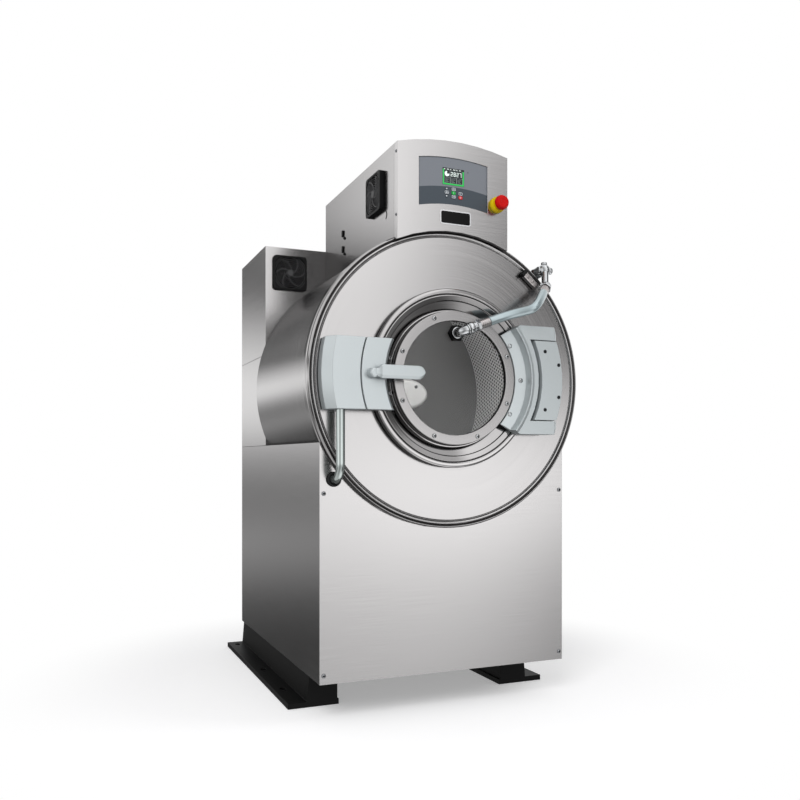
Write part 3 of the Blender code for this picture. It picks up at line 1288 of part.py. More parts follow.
def lock_conduit():
    """Rigid tube from the lock housing, bent back into the front panel."""
    corners = [(-CONDUIT_X, -CONDUIT_PROUD, -COVER_HALF_HEIGHT - GAP),
               (-CONDUIT_X, -CONDUIT_PROUD, -CONDUIT_DROP), (-CONDUIT_X, CONDUIT_END, -CONDUIT_DROP)]
    return tube("lock_conduit", bent_path(corners, CONDUIT_BEND, 6), CONDUIT_RADIUS, HOSE_GREY, at_drum())


def conduit_grommet():
    inner = CONDUIT_RADIUS + 2 * GAP
    profile = [(inner, -GAP), (inner, -GROMMET_PROUD), ((inner + GROMMET_RADIUS) / 2, -GROMMET_PROUD),
               (GROMMET_RADIUS, -GROMMET_PROUD / 2), (GROMMET_RADIUS, -GAP)]
    return turned("conduit_grommet", profile, RUBBER, from_panel(-CONDUIT_X, 0, DRUM_Z - CONDUIT_DROP),
                  SMALL_STEPS + 2)


def spray_run_point():
    """Where the supply pipe runs back beside the tub, as (x, z) from the drum axis."""
    return (SUPPLY_RUN_RADIUS * math.cos(SUPPLY_RUN_ANGLE), SUPPLY_RUN_RADIUS * math.sin(SUPPLY_RUN_ANGLE))


def spray_heading():
    """Direction in which the first ferrule points."""
    return Vector((math.cos(SPRAY_LEAN), 0, math.sin(SPRAY_LEAN)))


def supply_heading():
    """Direction in which the hose enters the second ferrule."""
    level = math.cos(SUPPLY_PITCH)
    return Vector((level * math.cos(SUPPLY_HEADING), math.sin(SUPPLY_PITCH),
                   level * math.sin(SUPPLY_HEADING)))


def spray_fitting():
    """Nozzle through the glass, hexagon flange, elbow and the first ferrule."""
    glass = -GLASS_FRONT - GAP
    nut = Vector((0, -SPRAY_NUT_PROUD, SPRAY_Z))
    corner = Vector((0, -SPRAY_ELBOW_PROUD, SPRAY_Z))
    arm = corner + spray_heading() * SPRAY_ARM
    elbow = bent_path([nut, corner, arm], SPRAY_ELBOW_BEND, 3)
    path = [(0, SPRAY_TIP_BACK - PAN_FLANGE_PROUD, SPRAY_Z), (0, glass, SPRAY_Z), (0, glass, SPRAY_Z), nut]
    path += elbow + [arm, arm + spray_heading() * SPRAY_FERRULE]
    radii = [SPRAY_TUBE_RADIUS, SPRAY_TUBE_RADIUS, SPRAY_NUT_RADIUS, SPRAY_NUT_RADIUS]
    radii += [SPRAY_TUBE_RADIUS] * len(elbow) + [HOSE_RADIUS, HOSE_RADIUS]
    return swept("spray_fitting", path, radii, BRIGHT, at_drum(), 10)


def hose_ends():
    """The two points, from the drum axis, between which the spray hose hangs."""
    corner = Vector((0, -SPRAY_ELBOW_PROUD, SPRAY_Z))
    start = corner + spray_heading() * (SPRAY_ARM + SPRAY_FERRULE + GAP)
    end = Vector((SUPPLY_RADIUS * math.cos(SUPPLY_ANGLE), -SUPPLY_PROUD,
                  SUPPLY_RADIUS * math.sin(SUPPLY_ANGLE)))
    return start, end


def spray_hose():
    """Hose that leaves both ferrules straight and bulges forward as far as its proud size says."""
    start, end = hose_ends()
    first = start + spray_heading() * HOSE_LEAD
    last = end - supply_heading() * HOSE_LEAD
    reach = 3 * HOSE_CREST_SHARE ** 2 - 2 * HOSE_CREST_SHARE ** 3
    between = first.y * (1 - reach) + last.y * reach
    pull = (HOSE_PROUD - HOSE_RADIUS + between) / (HOSE_CREST_SHARE ** 2 - HOSE_CREST_SHARE ** 3)
    arriving = supply_heading() * (pull / supply_heading().y)
    middle = eased_path(first, last, spray_heading() * arriving.length, arriving, HOSE_STEPS)
    return tube("spray_hose", [start] + middle + [end], HOSE_RADIUS, HOSE_GREY, at_drum())


def spray_supply_pipe():
    """Second ferrule, bend, and the pipe over the rim to the drive box."""
    _, end = hose_ends()
    start = end + supply_heading() * 2 * GAP
    neck = start + supply_heading() * SUPPLY_FERRULE
    run_x, run_z = spray_run_point()
    bend = bent_path([neck, (run_x, -SUPPLY_CORNER_PROUD, run_z),
                      (run_x, DRIVE_BOX_FRONT + OVERRUN / 2, run_z)],
                     SUPPLY_BEND, 3)
    radii = [HOSE_RADIUS, HOSE_RADIUS] + [SPRAY_TUBE_RADIUS] * len(bend)
    return swept("spray_supply_pipe", [start, neck] + bend, radii, BRIGHT, at_drum(), 10)


def spray_bracket():
    """Clamp block on the head that the elbow leans on, turned to face the drum axis."""
    half = BRACKET_LENGTH / 2
    rise = BRACKET_HEIGHT / 2
    angle = BRACKET_ANGLE
    bracket = block("spray_bracket", (-half, -HEAD_PROUD - BRACKET_DEPTH, -rise),
                    (half, -HEAD_PROUD - GAP, rise), BRIGHT, at_drum())
    bracket.location = from_panel(BRACKET_REACH * math.cos(angle), 0,
                                  DRUM_Z + BRACKET_REACH * math.sin(angle))
    bracket.rotation_euler = (0, math.pi / 2 - angle, 0)
    return bracket


# Control box

def control_box():
    """Sheet box on top of the tub, open to the front cover."""
    start = -CONTROL_PROUD + CONTROL_FRONT_DEPTH + GAP
    end = DRIVE_BOX_FRONT - GAP
    seat = RIM_RADIUS - SHEET
    box = extruded("control_box", arched(CONTROL_HALF, seat, CONTROL_TOP_RADIUS), start, end, "Y", STAINLESS,
                   at_drum())
    rim_room = extruded("rim_seat", circle(RIM_RADIUS + GAP, (0, 0), ROUND_STEPS), start - OVERRUN,
                        end + OVERRUN, "Y", None, at_drum())
    cut(box, rim_room)
    inner = arched(CONTROL_HALF - SHEET, RIM_RADIUS + 2 * SHEET, CONTROL_TOP_RADIUS - SHEET)
    void = extruded("control_void", inner, start - OVERRUN, end - SHEET, "Y", None, at_drum())
    cut(box, void)
    hole = extruded("control_fan_hole", circle(FAN_OPENING_RADIUS, (CONTROL_FAN_Y, CONTROL_FAN_Z)),
                    -CONTROL_HALF - OVERRUN, -CONTROL_HALF + OVERRUN, "X", None, from_panel())
    return cut(box, hole)


def control_front():
    """Front cover: arched face with the recess for the keypad, hooked over the rim."""
    front = -CONTROL_PROUD
    back = front + CONTROL_FRONT_DEPTH
    outline = arched(CONTROL_HALF, TUB_RADIUS, CONTROL_TOP_RADIUS)
    cover = extruded("control_front", outline, front, back, "Y", STAINLESS, at_drum())
    wall = CONTROL_WALL
    rim_room = circle(RIM_RADIUS + GAP, (0, 0), ROUND_STEPS)
    room = extruded("rim_room", rim_room, -RIM_PROUD - GAP, OVERRUN, "Y", None, at_drum())
    cut(cover, room)
    floor = RECESS_DEPTH + wall
    inner = arched(CONTROL_HALF - wall, RIM_RADIUS + GAP + wall, CONTROL_TOP_RADIUS - wall)
    void = extruded("cover_void", inner, front + floor, back + OVERRUN, "Y", None, at_drum())
    cut(cover, void)
    recess = extruded("recess", arched(RECESS_HALF_WIDTH, RECESS_FLOOR_RADIUS, RECESS_TOP_RADIUS),
                      front - OVERRUN, front + RECESS_DEPTH, "Y", None, at_drum())
    cut(cover, recess)
    window = block("display_room", (-DISPLAY_WIDTH / 2, front, DISPLAY_Z - DISPLAY_HEIGHT / 2),
                   (DISPLAY_WIDTH / 2, back + OVERRUN, DISPLAY_Z + DISPLAY_HEIGHT / 2), None, at_drum())
    cut(cover, window)
    room_half = KEY_COLUMN + 2 * KEY_HALF_WIDTH
    key_room = block("key_room", (-room_half, front, KEY_CENTRE_Z - KEY_ROW - 2 * KEY_HALF_HEIGHT),
                     (room_half, back + OVERRUN, KEY_CENTRE_Z + KEY_ROW + KEY_HALF_HEIGHT + GAP), None,
                     at_drum())
    cut(cover, key_room)
    stem = extruded("estop_room", bore(ESTOP_STEM_RADIUS, (ESTOP_X, ESTOP_Z)), front - OVERRUN,
                    back + OVERRUN, "Y", None, at_drum())
    return cut(cover, stem)


def key_outline(column, row, grow, arrow):
    """Outline of one key, as (x, z) from the drum axis."""
    centre = (column * KEY_COLUMN, KEY_CENTRE_Z + row * KEY_ROW)
    if arrow:
        return circle(ARROW_RADIUS + grow, centre, 8)
    unit = circle(1, (0, 0), 10)
    wide = KEY_HALF_WIDTH + grow
    tall = KEY_HALF_HEIGHT + grow
    return [(centre[0] + x * wide, centre[1] + z * tall) for x, z in unit]


KEYS = (
    ("key_up", -1, 1, True, KEY_GREY),
    ("key_ok", -1, 0, False, KEY_GREY),
    ("key_down", -1, -1, True, KEY_GREY),
    ("key_menu", 0, 1, False, KEY_GREY),
    ("key_start", 0, 0, False, KEY_GREEN),
    ("key_back", 0, -1, False, KEY_GREY),
    ("key_info", 1, 0, False, KEY_GREY),
    ("key_stop", 1, -1, False, KEY_RED),
)


def key_outlines(grow):
    return [(name, key_outline(column, row, grow, arrow)) for name, column, row, arrow, _ in KEYS]


def keypad():
    floor = -CONTROL_PROUD + RECESS_DEPTH
    back = floor - GAP
    front = back - OVERLAY_THICKNESS
    outline = arched(RECESS_HALF_WIDTH - GAP, RECESS_FLOOR_RADIUS + GAP, RECESS_TOP_RADIUS - GAP)
    overlay = extruded("keypad_overlay", outline, front, back, "Y", GREY_OVERLAY, at_drum())
    half_width = DISPLAY_WIDTH / 2
    half_height = DISPLAY_HEIGHT / 2
    window = block("display_cut", (-half_width, front - OVERRUN, DISPLAY_Z - half_height),
                   (half_width, back + OVERRUN, DISPLAY_Z + half_height), None, at_drum())
    cut(overlay, window)
    for _, outline in key_outlines(GAP):
        cut(overlay, extruded("key_cut", outline, front - OVERRUN, back + OVERRUN, "Y", None, at_drum()))
    block("display_window", (-half_width + GAP, front, DISPLAY_Z - half_height + GAP),
          (half_width - GAP, floor + CONTROL_WALL, DISPLAY_Z + half_height - GAP), SCREEN, at_drum())
    for name, column, row, arrow, spec in KEYS:
        extruded(name, key_outline(column, row, 0, arrow), front - KEY_PROUD, front - KEY_PROUD + KEY_DEPTH,
                 "Y", spec, at_drum())


def estop():
    place = (ESTOP_X, PANEL_Y - CONTROL_PROUD, DRUM_Z + ESTOP_Z)
    ring = ESTOP_RING_DEPTH
    inner = ESTOP_STEM_RADIUS + GAP
    base = [(inner, -GAP), (ESTOP_RING_RADIUS, -GAP), (ESTOP_RING_RADIUS, -ring / 2),
            (ESTOP_RING_RADIUS - ring / 4, -ring), (inner, -ring)]
    turned("estop_base", base, YELLOW, place, SMALL_STEPS + 2)
    back = -ring - ESTOP_TRAVEL - GAP
    front = back - ESTOP_HEAD_DEPTH
    edge = ESTOP_HEAD_DEPTH / 4
    head = [(0, CONTROL_FRONT_DEPTH / 2), (ESTOP_STEM_RADIUS, CONTROL_FRONT_DEPTH / 2),
            (ESTOP_STEM_RADIUS, back),
            (ESTOP_HEAD_RADIUS - edge, back), (ESTOP_HEAD_RADIUS, back - edge),
            (ESTOP_HEAD_RADIUS, front + 2 * edge),
            (ESTOP_HEAD_RADIUS - edge, front + edge / 2), (ESTOP_HEAD_RADIUS / 2, front), (0, front)]
    turned("estop_button", head, RED, place, SMALL_STEPS + 2)


# Fans, built facing -Y and turned to their wall

def fan_guard(name, place, heading):
    """Square frame with rings, swirled spokes and the boss that carries the rotor."""
    half = FAN_SIZE / 2
    depth = FAN_GUARD_DEPTH
    guard = extruded(name, clipped_square(half, FAN_CORNER), -depth, -GAP, "Y", BLACK_PLASTIC, place)
    opening = extruded("fan_opening", circle(FAN_OPENING_RADIUS, (0, 0), INNER_STEPS), -depth - OVERRUN,
                       OVERRUN, "Y", None, place)
    cut(guard, opening)
    grille_back = -depth + FAN_GRILLE_DEPTH
    parts = [opening]
    ring_outer = FAN_RING_RADIUS + FAN_RING_WIDTH
    ring = turned("fan_ring", [(FAN_RING_RADIUS, -depth), (ring_outer, -depth), (ring_outer, grille_back),
                               (FAN_RING_RADIUS, grille_back)], None, place, SMALL_STEPS + 1)
    hub = extruded("fan_hub", circle(FAN_HUB_RADIUS), -depth, -GAP, "Y", None, place)
    for part in (ring, hub):
        cut(guard, part, "UNION")
        parts.append(part)
    for index in range(FAN_SPOKES):
        outline = spoke_outline(math.tau * index / FAN_SPOKES)
        spoke = extruded("fan_spoke", outline, -depth + GAP, grille_back - GAP, "Y", None, place)
        cut(guard, spoke, "UNION")
        parts.append(spoke)
    for part in parts + [guard]:
        part.rotation_euler = (0, 0, heading)
    return guard


def spoke_outline(angle, steps=2):
    """A swirled spoke from the hub to the frame, as (x, z)."""
    inner = FAN_HUB_RADIUS - FAN_SPOKE_WIDTH / 2
    outer = FAN_OPENING_RADIUS + FAN_SPOKE_WIDTH / 2
    left = []
    right = []
    for step in range(steps + 1):
        share = step / steps
        radius = inner + (outer - inner) * share
        turn = angle + FAN_SPOKE_SWIRL * share
        half = FAN_SPOKE_WIDTH / 2 / radius
        left.append((radius * math.cos(turn - half), radius * math.sin(turn - half)))
        right.append((radius * math.cos(turn + half), radius * math.sin(turn + half)))
    return left + right[::-1]


def fan_rotor(name, place, heading):
    """Hub with pitched blades, just inside the wall."""
    start = GAP
    end = start + ROTOR_DEPTH
    rotor = extruded(name, circle(FAN_HUB_RADIUS), start, end, "Y", BLACK_PLASTIC, place)
    tip = FAN_OPENING_RADIUS - ROTOR_TIP_GAP
    chord = ROTOR_DEPTH / 2 * math.sin(BLADE_PITCH)
    middle = (start + end) / 2
    blades = []
    for index in range(ROTOR_BLADES):
        turn = math.tau * index / ROTOR_BLADES
        root = FAN_HUB_RADIUS - FAN_RING_WIDTH
        blade = blade_mesh(root, tip, middle, chord, turn, place)
        cut(rotor, blade, "UNION")
        blades.append(blade)
    for part in blades + [rotor]:
        part.rotation_euler = (0, 0, heading)
    return rotor


def blade_mesh(root, tip, middle, chord, turn, place):
    """One flat blade leaning by its pitch, from the hub to near the opening."""
    bm = bmesh.new()
    along = Vector((math.cos(turn), 0, math.sin(turn)))
    across = Vector((-math.sin(turn), 0, math.cos(turn)))
    lean = (across * math.cos(BLADE_PITCH) + Vector((0, 1, 0)) * math.sin(BLADE_PITCH)).normalized()
    thick = along.cross(lean) * BLADE_THICKNESS / 2
    rings = []
    for radius, half in ((root, chord), (tip, 2 * chord)):
        centre = along * radius + Vector((0, middle, 0))
        corners = (centre - lean * half - thick, centre + lean * half - thick,
                   centre + lean * half + thick, centre - lean * half + thick)
        rings.append([bm.verts.new(corner) for corner in corners])
    bridge(bm, rings)
    return finish("fan_blade", bm, None, place)


def fans():
    wall = (-DRIVE_FAN_X, PANEL_Y + DRIVE_BOX_FRONT, DRIVE_FAN_Z)
    fan_guard("rear_fan_guard", wall, 0)
    fan_rotor("rear_fan_rotor", wall, 0)
    side = (-CONTROL_HALF, PANEL_Y + CONTROL_FAN_Y, CONTROL_FAN_Z)
    fan_guard("control_fan_guard", side, -math.pi / 2)
    fan_rotor("control_fan_rotor", side, -math.pi / 2)


def drum_drive():
    bearing_housing()
    bearing("front_bearing", DRIVE_BOX_FRONT + GAP + FLANGE_THICKNESS)
    bearing("rear_bearing", HUB_BACK - BEARING_DEPTH)
    drum_shaft()
    drum_pulley()
    motor_pulley()
    drive_belt()
    motor()


def door():
    door_pan()
    door_glass()
    door_clamp_ring()
    latch_cover()
    door_handle()
    latch_cam()
    lock_housing()
    pin = pin_cutter()
    hinge_arm(pin)
    hinge_block(pin)
    hinge_pin()


def main():
    clear_scene()
    clearance = tub_clearance()
    base_frame(clearance)
    cabinet(clearance)
    outer_tub()
    front_head()
    rim_band()
    door_gasket()
    drain_valve()
    inlet_valves()
    drum_drive()
    basket()
    door()
    lock_conduit()
    conduit_grommet()
    spray_fitting()
    spray_hose()
    spray_supply_pipe()
    spray_bracket()
    control_box()
    control_front()
    keypad()
    estop()
    fans()


main()
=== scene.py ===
import math

import bmesh
import bpy
from mathutils import Matrix, Vector


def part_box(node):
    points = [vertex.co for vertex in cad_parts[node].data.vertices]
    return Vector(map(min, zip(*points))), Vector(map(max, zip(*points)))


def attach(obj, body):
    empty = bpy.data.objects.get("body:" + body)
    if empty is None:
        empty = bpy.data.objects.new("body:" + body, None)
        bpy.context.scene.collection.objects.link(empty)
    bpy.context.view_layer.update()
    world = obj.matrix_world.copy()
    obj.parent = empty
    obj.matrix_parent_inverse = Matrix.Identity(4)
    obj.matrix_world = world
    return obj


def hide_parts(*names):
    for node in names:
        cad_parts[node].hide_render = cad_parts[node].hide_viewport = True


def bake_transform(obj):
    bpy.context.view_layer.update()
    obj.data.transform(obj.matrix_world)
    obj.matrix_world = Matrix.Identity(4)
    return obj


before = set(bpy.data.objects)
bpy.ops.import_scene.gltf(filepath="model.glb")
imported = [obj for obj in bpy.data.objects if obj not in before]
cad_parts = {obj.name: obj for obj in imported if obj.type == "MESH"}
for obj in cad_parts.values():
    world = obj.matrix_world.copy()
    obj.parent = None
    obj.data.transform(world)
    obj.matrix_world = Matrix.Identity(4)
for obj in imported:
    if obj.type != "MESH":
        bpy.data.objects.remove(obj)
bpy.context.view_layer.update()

bl_info = {
    "name": "Washer-extractor dresser",
    "version": (1, 0, 0),
    "blender": (4, 5, 0),
    "location": "View3D > Sidebar > Washer",
    "description": "Builds the visible pieces and finishes of a hardmount washer-extractor on its solids",
    "category": "Object",
}


def corners(node):
    """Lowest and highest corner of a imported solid."""
    low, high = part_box(node)
    return Vector(low), Vector(high)


def half_width(node):
    low, high = corners(node)
    return (high.x - low.x) / 2


def half_height(node):
    low, high = corners(node)
    return (high.z - low.z) / 2


def middle(node):
    """A solid's middle across and in height."""
    low, high = corners(node)
    return (low.x + high.x) / 2, (low.z + high.z) / 2


def ahead(node):
    """How far a solid's front stands before the front panel."""
    return PANEL_Y - corners(node)[0].y


def behind(node):
    """How far a solid's back lies behind the front panel."""
    return corners(node)[1].y - PANEL_Y


def depths(node):
    """How far a solid's front and its back lie behind the front panel."""
    return -ahead(node), behind(node)


# The machine's own places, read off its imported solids
PANEL_Y = corners("front_panel")[0].y
DRUM_Z = middle("rim_band")[1]
HALF_WIDTH = half_width("front_panel")
TUB_R = half_width("outer_tub")
RIM_R = half_width("rim_band")
DOOR_R = half_width("door_pan")
GLASS_R = half_width("door_glass")
CLAMP_R = half_width("door_clamp_ring")
BASKET_R = half_width("basket_spider")
TUB_BACK = behind("outer_tub")
HEAD_PROUD = ahead("front_head")
RIM_PROUD = ahead("rim_band")
RIM_BACK = behind("rim_band")
DOOR_PROUD = ahead("door_pan")
CLAMP_PROUD = ahead("door_clamp_ring")
GLASS_PROUD = ahead("door_glass")
GLASS_BACK = -behind("door_glass")
COVER_PROUD = ahead("latch_cover")
DOORWAY_R = TUB_R * 0.514

# Play between neighbouring pieces, and a length that counts as none
GAP = 0.0003
TINY = 1e-6

FORWARD = (0, -1, 0)
BACKWARD = (0, 1, 0)
LEFTWARD = (-1, 0, 0)


# Meshes

def at_drum(x=0.0, y=0.0, z=0.0):
    """A place given from the drum axis, y behind the front panel."""
    return Vector((x, PANEL_Y + y, DRUM_Z + z))


def at_origin(x, y, z):
    return Vector((x, y, z))


def on_circle(radius, degrees):
    """The (x, z) place on a circle, by its angle from the right."""
    turn = math.radians(degrees)
    return radius * math.cos(turn), radius * math.sin(turn)


def finished(name, bm, body, key, smooth=40, stands_for=None):
    """Make an object of a bmesh, shade it, give it its finish and let it ride on its body."""
    bmesh.ops.recalc_face_normals(bm, faces=bm.faces)
    mesh = bpy.data.meshes.new(name)
    bm.to_mesh(mesh)
    bm.free()
    mesh.shade_smooth()
    mesh.set_sharp_from_angle(angle=math.radians(smooth))
    mesh.materials.append(finish(key))
    made = bpy.data.objects.new(name.replace(" ", "_"), mesh)
    bpy.context.scene.collection.objects.link(made)
    keep_flats(made)
    if body:
        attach(made, body)
    if stands_for:
        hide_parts(stands_for)
    return made


def keep_flats(made):
    """Let the large faces of a piece shade flat between its rounded edges, and keep that in its mesh."""
    made.modifiers.new("flats", "WEIGHTED_NORMAL").keep_sharp = True
    graph = bpy.context.evaluated_depsgraph_get()
    mesh = bpy.data.meshes.new_from_object(made.evaluated_get(graph))
    made.modifiers.clear()
    made.data = mesh


def softened(points, radii, steps=4):
    """A closed outline with its corners rounded, one radius for each."""
    longest_share = 0.49
    straight = math.pi - 0.02
    made = []
    count = len(points)
    for index, (point, radius) in enumerate(zip(points, radii)):
        here = Vector(point)
        before = Vector(points[index - 1]) - here
        after = Vector(points[(index + 1) % count]) - here
        turn = before.angle(after)
        reach = 0
        if radius:
            room = min(before.length * longest_share, after.length * longest_share)
            reach = min(radius / math.tan(turn / 2), room)
        if reach < TINY or turn > straight:
            made.append(here)
            continue
        start = here + before.normalized() * reach
        end = here + after.normalized() * reach
        for step in range(steps + 1):
            t = step / steps
            made.append(start * (1 - t) ** 2 + here * 2 * t * (1 - t) + end * t ** 2)
    return made


def skin(bm, rings, closed_ends=True):
    """Faces between rings of as many points each, and over both ends."""
    count = len(rings[0])
    faces = []
    for first, second in zip(rings, rings[1:]):
        for index in range(count):
            after = (index + 1) % count
            faces.append(bm.faces.new((first[index], first[after], second[after], second[index])))
    if closed_ends:
        bm.faces.new(list(reversed(rings[0])))
        bm.faces.new(rings[-1])
    return faces


def lay(face, layer, shares, lengths):
    """Map a face by its corners' share round and length along."""
    for loop, share, length in zip(face.loops, shares, lengths):
        loop[layer].uv = (share, length)


def bevelled(bm, edges, width, segments=2, held=False):
    """Round those edges; held keeps a rounding from running into the next one."""
    bmesh.ops.bevel(bm, geom=edges, offset=width, segments=segments, profile=0.5, affect="EDGES",
                    clamp_overlap=held)


def edges_at(bm, depth):
    """Edges that lie in one plane across Y."""
    return [edge for edge in bm.edges if all(abs(vert.co.y - depth) < TINY for vert in edge.verts)]


def lathe(profile, steps=144, centre=None):
    """Turn a closed (radius, y) outline about the Y axis, with a map of share round and length across."""
    centre = centre or at_drum()
    bm = bmesh.new()
    layer = bm.loops.layers.uv.new("turned")
    points = [Vector(point) for point in profile]
    run = [0.0]
    for first, second in zip(points, points[1:] + points[:1]):
        run.append(run[-1] + (second - first).length)
    rings = []
    for step in range(steps):
        turn = math.tau * step / steps
        rings.append([bm.verts.new(centre + Vector((p.x * math.cos(turn), p.y, p.x * math.sin(turn))))
                      for p in points])
    count = len(points)
    for step in range(steps):
        this, following = rings[step], rings[(step + 1) % steps]
        for index in range(count):
            after = (index + 1) % count
            if points[index].x < TINY and points[after].x < TINY:
                continue
            face = bm.faces.new((this[index], this[after], following[after], following[index]))
            here, there = step / steps, (step + 1) / steps
            near, far = run[index], run[index + 1]
            lay(face, layer, (here, here, there, there), (near, far, far, near))
    bmesh.ops.remove_doubles(bm, verts=bm.verts, dist=TINY)
    return bm


def arc(radius, start, end, steps, centre=(0.0, 0.0)):
    """Points on an arc between two angles in degrees, both ends included."""
    points = []
    for step in range(steps + 1):
        angle = math.radians(start + (end - start) * step / steps)
        points.append((centre[0] + radius * math.cos(angle), centre[1] + radius * math.sin(angle)))
    return points


def plate(outline, low, high, edge=0.0, rings=3, at=at_drum):
    """A plate of an (x, z) outline, from low to high before the panel, its front edge rounded."""
    bm = bmesh.new()
    base = bm.faces.new([bm.verts.new(at(x, -low, z)) for x, z in outline])
    grown = bmesh.ops.extrude_face_region(bm, geom=[base])
    moved = [item for item in grown["geom"] if isinstance(item, bmesh.types.BMVert)]
    bmesh.ops.translate(bm, verts=moved, vec=(0, low - high, 0))
    bmesh.ops.recalc_face_normals(bm, faces=bm.faces)
    if edge:
        bevelled(bm, edges_at(bm, at(0, -high, 0).y), edge, rings)
    return bm


def ring_plate(outer, inner, low, high, edge=0.0):
    """A plate at the origin, looking along -Y, with one hole: both outlines have as many (x, z) points."""
    bm = bmesh.new()
    loops = [[bm.verts.new((x, -depth, z)) for x, z in outline]
             for outline, depth in ((outer, low), (outer, high), (inner, high), (inner, low))]
    skin(bm, loops + loops[:1], False)
    bmesh.ops.recalc_face_normals(bm, faces=bm.faces)
    if edge:
        rims = [edge_line for edge_line in edges_at(bm, -high) if edge_line.calc_face_angle(0) > 0.5]
        bevelled(bm, rims, edge)
    return bm


def arc_casting(profile, node, edge):
    """A casting on the left, as high as its solid, whose (radius, y) section is swept about the drum axis."""
    steps = 20
    crease = math.radians(22)
    half = half_height(node)
    bm = bmesh.new()
    rings = []
    for step in range(steps + 1):
        z = half * (2 * step / steps - 1)
        rings.append([bm.verts.new(at_drum(-math.sqrt(r * r - z * z), y, z)) for r, y in profile])
    skin(bm, rings)
    bmesh.ops.recalc_face_normals(bm, faces=bm.faces)
    bevelled(bm, [line for line in bm.edges if line.calc_face_angle(0) > crease], edge, 3, True)
    return bm


def turned(profile, steps, place, direction):
    """A small turned piece, built along Y and moved to its place and direction."""
    return facing(lathe(profile, steps, Vector()), place, direction)


def ribbed_sleeve(radius, length, place, direction):
    """A crimped ferrule with five ribs round it."""
    mouth, groove = radius * 0.94, radius * 0.88
    ribs = 5
    pitch = length / ribs
    profile = [(0, 0), (mouth, 0)]
    for index in range(ribs):
        start = -pitch * index
        profile += [(radius, start - pitch * 0.12), (radius, start - pitch * 0.66),
                    (groove, start - pitch * 0.74), (groove, start - pitch * 0.94)]
    profile += [(mouth, -length), (0, -length)]
    return turned(profile, 32, place, direction)


def hexagon_nut(radius, height, place, direction):
    """A hexagon with chamfered corners."""
    face = radius * 0.92
    profile = [(0, 0), (face, 0), (radius, -height * 0.12), (radius, -height * 0.88), (face, -height),
               (0, -height)]
    return turned(profile, 6, place, direction)


def collar(radius, height, place, direction):
    """A round collar with soft edges."""
    edge = height * 0.3
    profile = softened([(0, 0), (radius, 0), (radius, -height), (0, -height)], [0, edge, edge, 0], 3)
    return turned(profile, 32, place, direction)


def box(low, high, edge, rings=2):
    """A box between two world corners with rounded edges."""
    bm = bmesh.new()
    low, high = Vector(low), Vector(high)
    bmesh.ops.create_cube(bm, size=1)
    for vert in bm.verts:
        vert.co = Vector(low[i] + (vert.co[i] + 0.5) * (high[i] - low[i]) for i in range(3))
    bevelled(bm, list(bm.edges), edge, rings)
    return bm


def bent_path(points, radius, steps=10):
    """Points of a pipe that runs straight between the corners and bends round each inner one."""
    points = [Vector(point) for point in points]
    made = [points[0]]
    for before, corner, after in zip(points, points[1:], points[2:]):
        into = (corner - before).normalized()
        out = (after - corner).normalized()
        turn = into.angle(out)
        inward = (out - into * into.dot(out)).normalized()
        start = corner - into * radius * math.tan(turn / 2)
        for step in range(steps + 1):
            angle = turn * step / steps
            made.append(start + into * radius * math.sin(angle) + inward * radius * (1 - math.cos(angle)))
    return made + [points[-1]]


def swept(path, radius, sides=24):
    """Sweep a circle along a path, with both ends closed."""
    points = [Vector(point) for point in path]
    bm = bmesh.new()
    layer = bm.loops.layers.uv.new("along")
    rings, run, normal = [], [0.0], None
    for index, point in enumerate(points):
        forward = next((p for p in points[index + 1:] if (p - point).length > TINY), point)
        backward = next((p for p in reversed(points[:index]) if (p - point).length > TINY), point)
        tangent = (forward - backward).normalized()
        if normal is None:
            normal = tangent.orthogonal().normalized()
        normal = (normal - tangent * normal.dot(tangent)).normalized()
        side = tangent.cross(normal)
        turns = [math.tau * step / sides for step in range(sides)]
        rings.append([bm.verts.new(point + (normal * math.cos(turn) + side * math.sin(turn)) * radius)
                      for turn in turns])
        if index:
            run.append(run[-1] + (point - points[index - 1]).length)
    for number, face in enumerate(skin(bm, rings)):
        index, step = divmod(number, sides)
        here, there = step / sides, (step + 1) / sides
        near, far = run[index], run[index + 1]
        lay(face, layer, (here, there, there, here), (near, near, far, far))
    return bm


def joined(*parts):
    """Several bmeshes as one."""
    whole = parts[0]
    for part in parts[1:]:
        mesh = bpy.data.meshes.new("part")
        part.to_mesh(mesh)
        part.free()
        whole.from_mesh(mesh)
        bpy.data.meshes.remove(mesh)
    return whole


def facing(bm, place, direction):
    """Move a piece that was built at the origin, looking along -Y, to its place and direction."""
    turn = Vector(FORWARD).rotation_difference(Vector(direction)).to_matrix().to_4x4()
    bmesh.ops.transform(bm, matrix=Matrix.Translation(Vector(place)) @ turn, verts=bm.verts)
    return bm


SOCKET_SHARE = 0.45


def button_screw(radius, height, place, direction=FORWARD):
    """A domed screw head with a hexagon socket."""
    socket = radius * SOCKET_SHARE
    floor = -height * 0.45
    dome = [(0, 0), (radius, 0), (radius, -height * 0.35), (radius * 0.82, -height * 0.8),
            (socket * 1.15, -height), (socket, -height), (socket, floor), (0, floor)]
    radii = [0, 0, radius * 0.2, radius * 0.25, 0, 0, 0, 0]
    return turned(softened(dome, radii, 2), 18, place, direction)


def screws(name, body, key, radius, height, places, direction=FORWARD):
    """Domed screws at those places, with black discs on their socket floors as painted shade."""
    finished(name, joined(*[button_screw(radius, height, place, direction) for place in places]), body, key)
    # Black discs in the rubber finish on each socket's floor: painted shade of the socket's depth
    look = Vector(direction)
    wide = radius * 0.44
    film = -0.0002
    disc = [(0, 0), (wide, 0), (wide, film), (0, film)]
    painted_shade_discs = [turned(disc, 6, Vector(place) + look * height * 0.47, direction) for place in places]
    finished(name + " sockets", joined(*painted_shade_discs), body, "rubber")


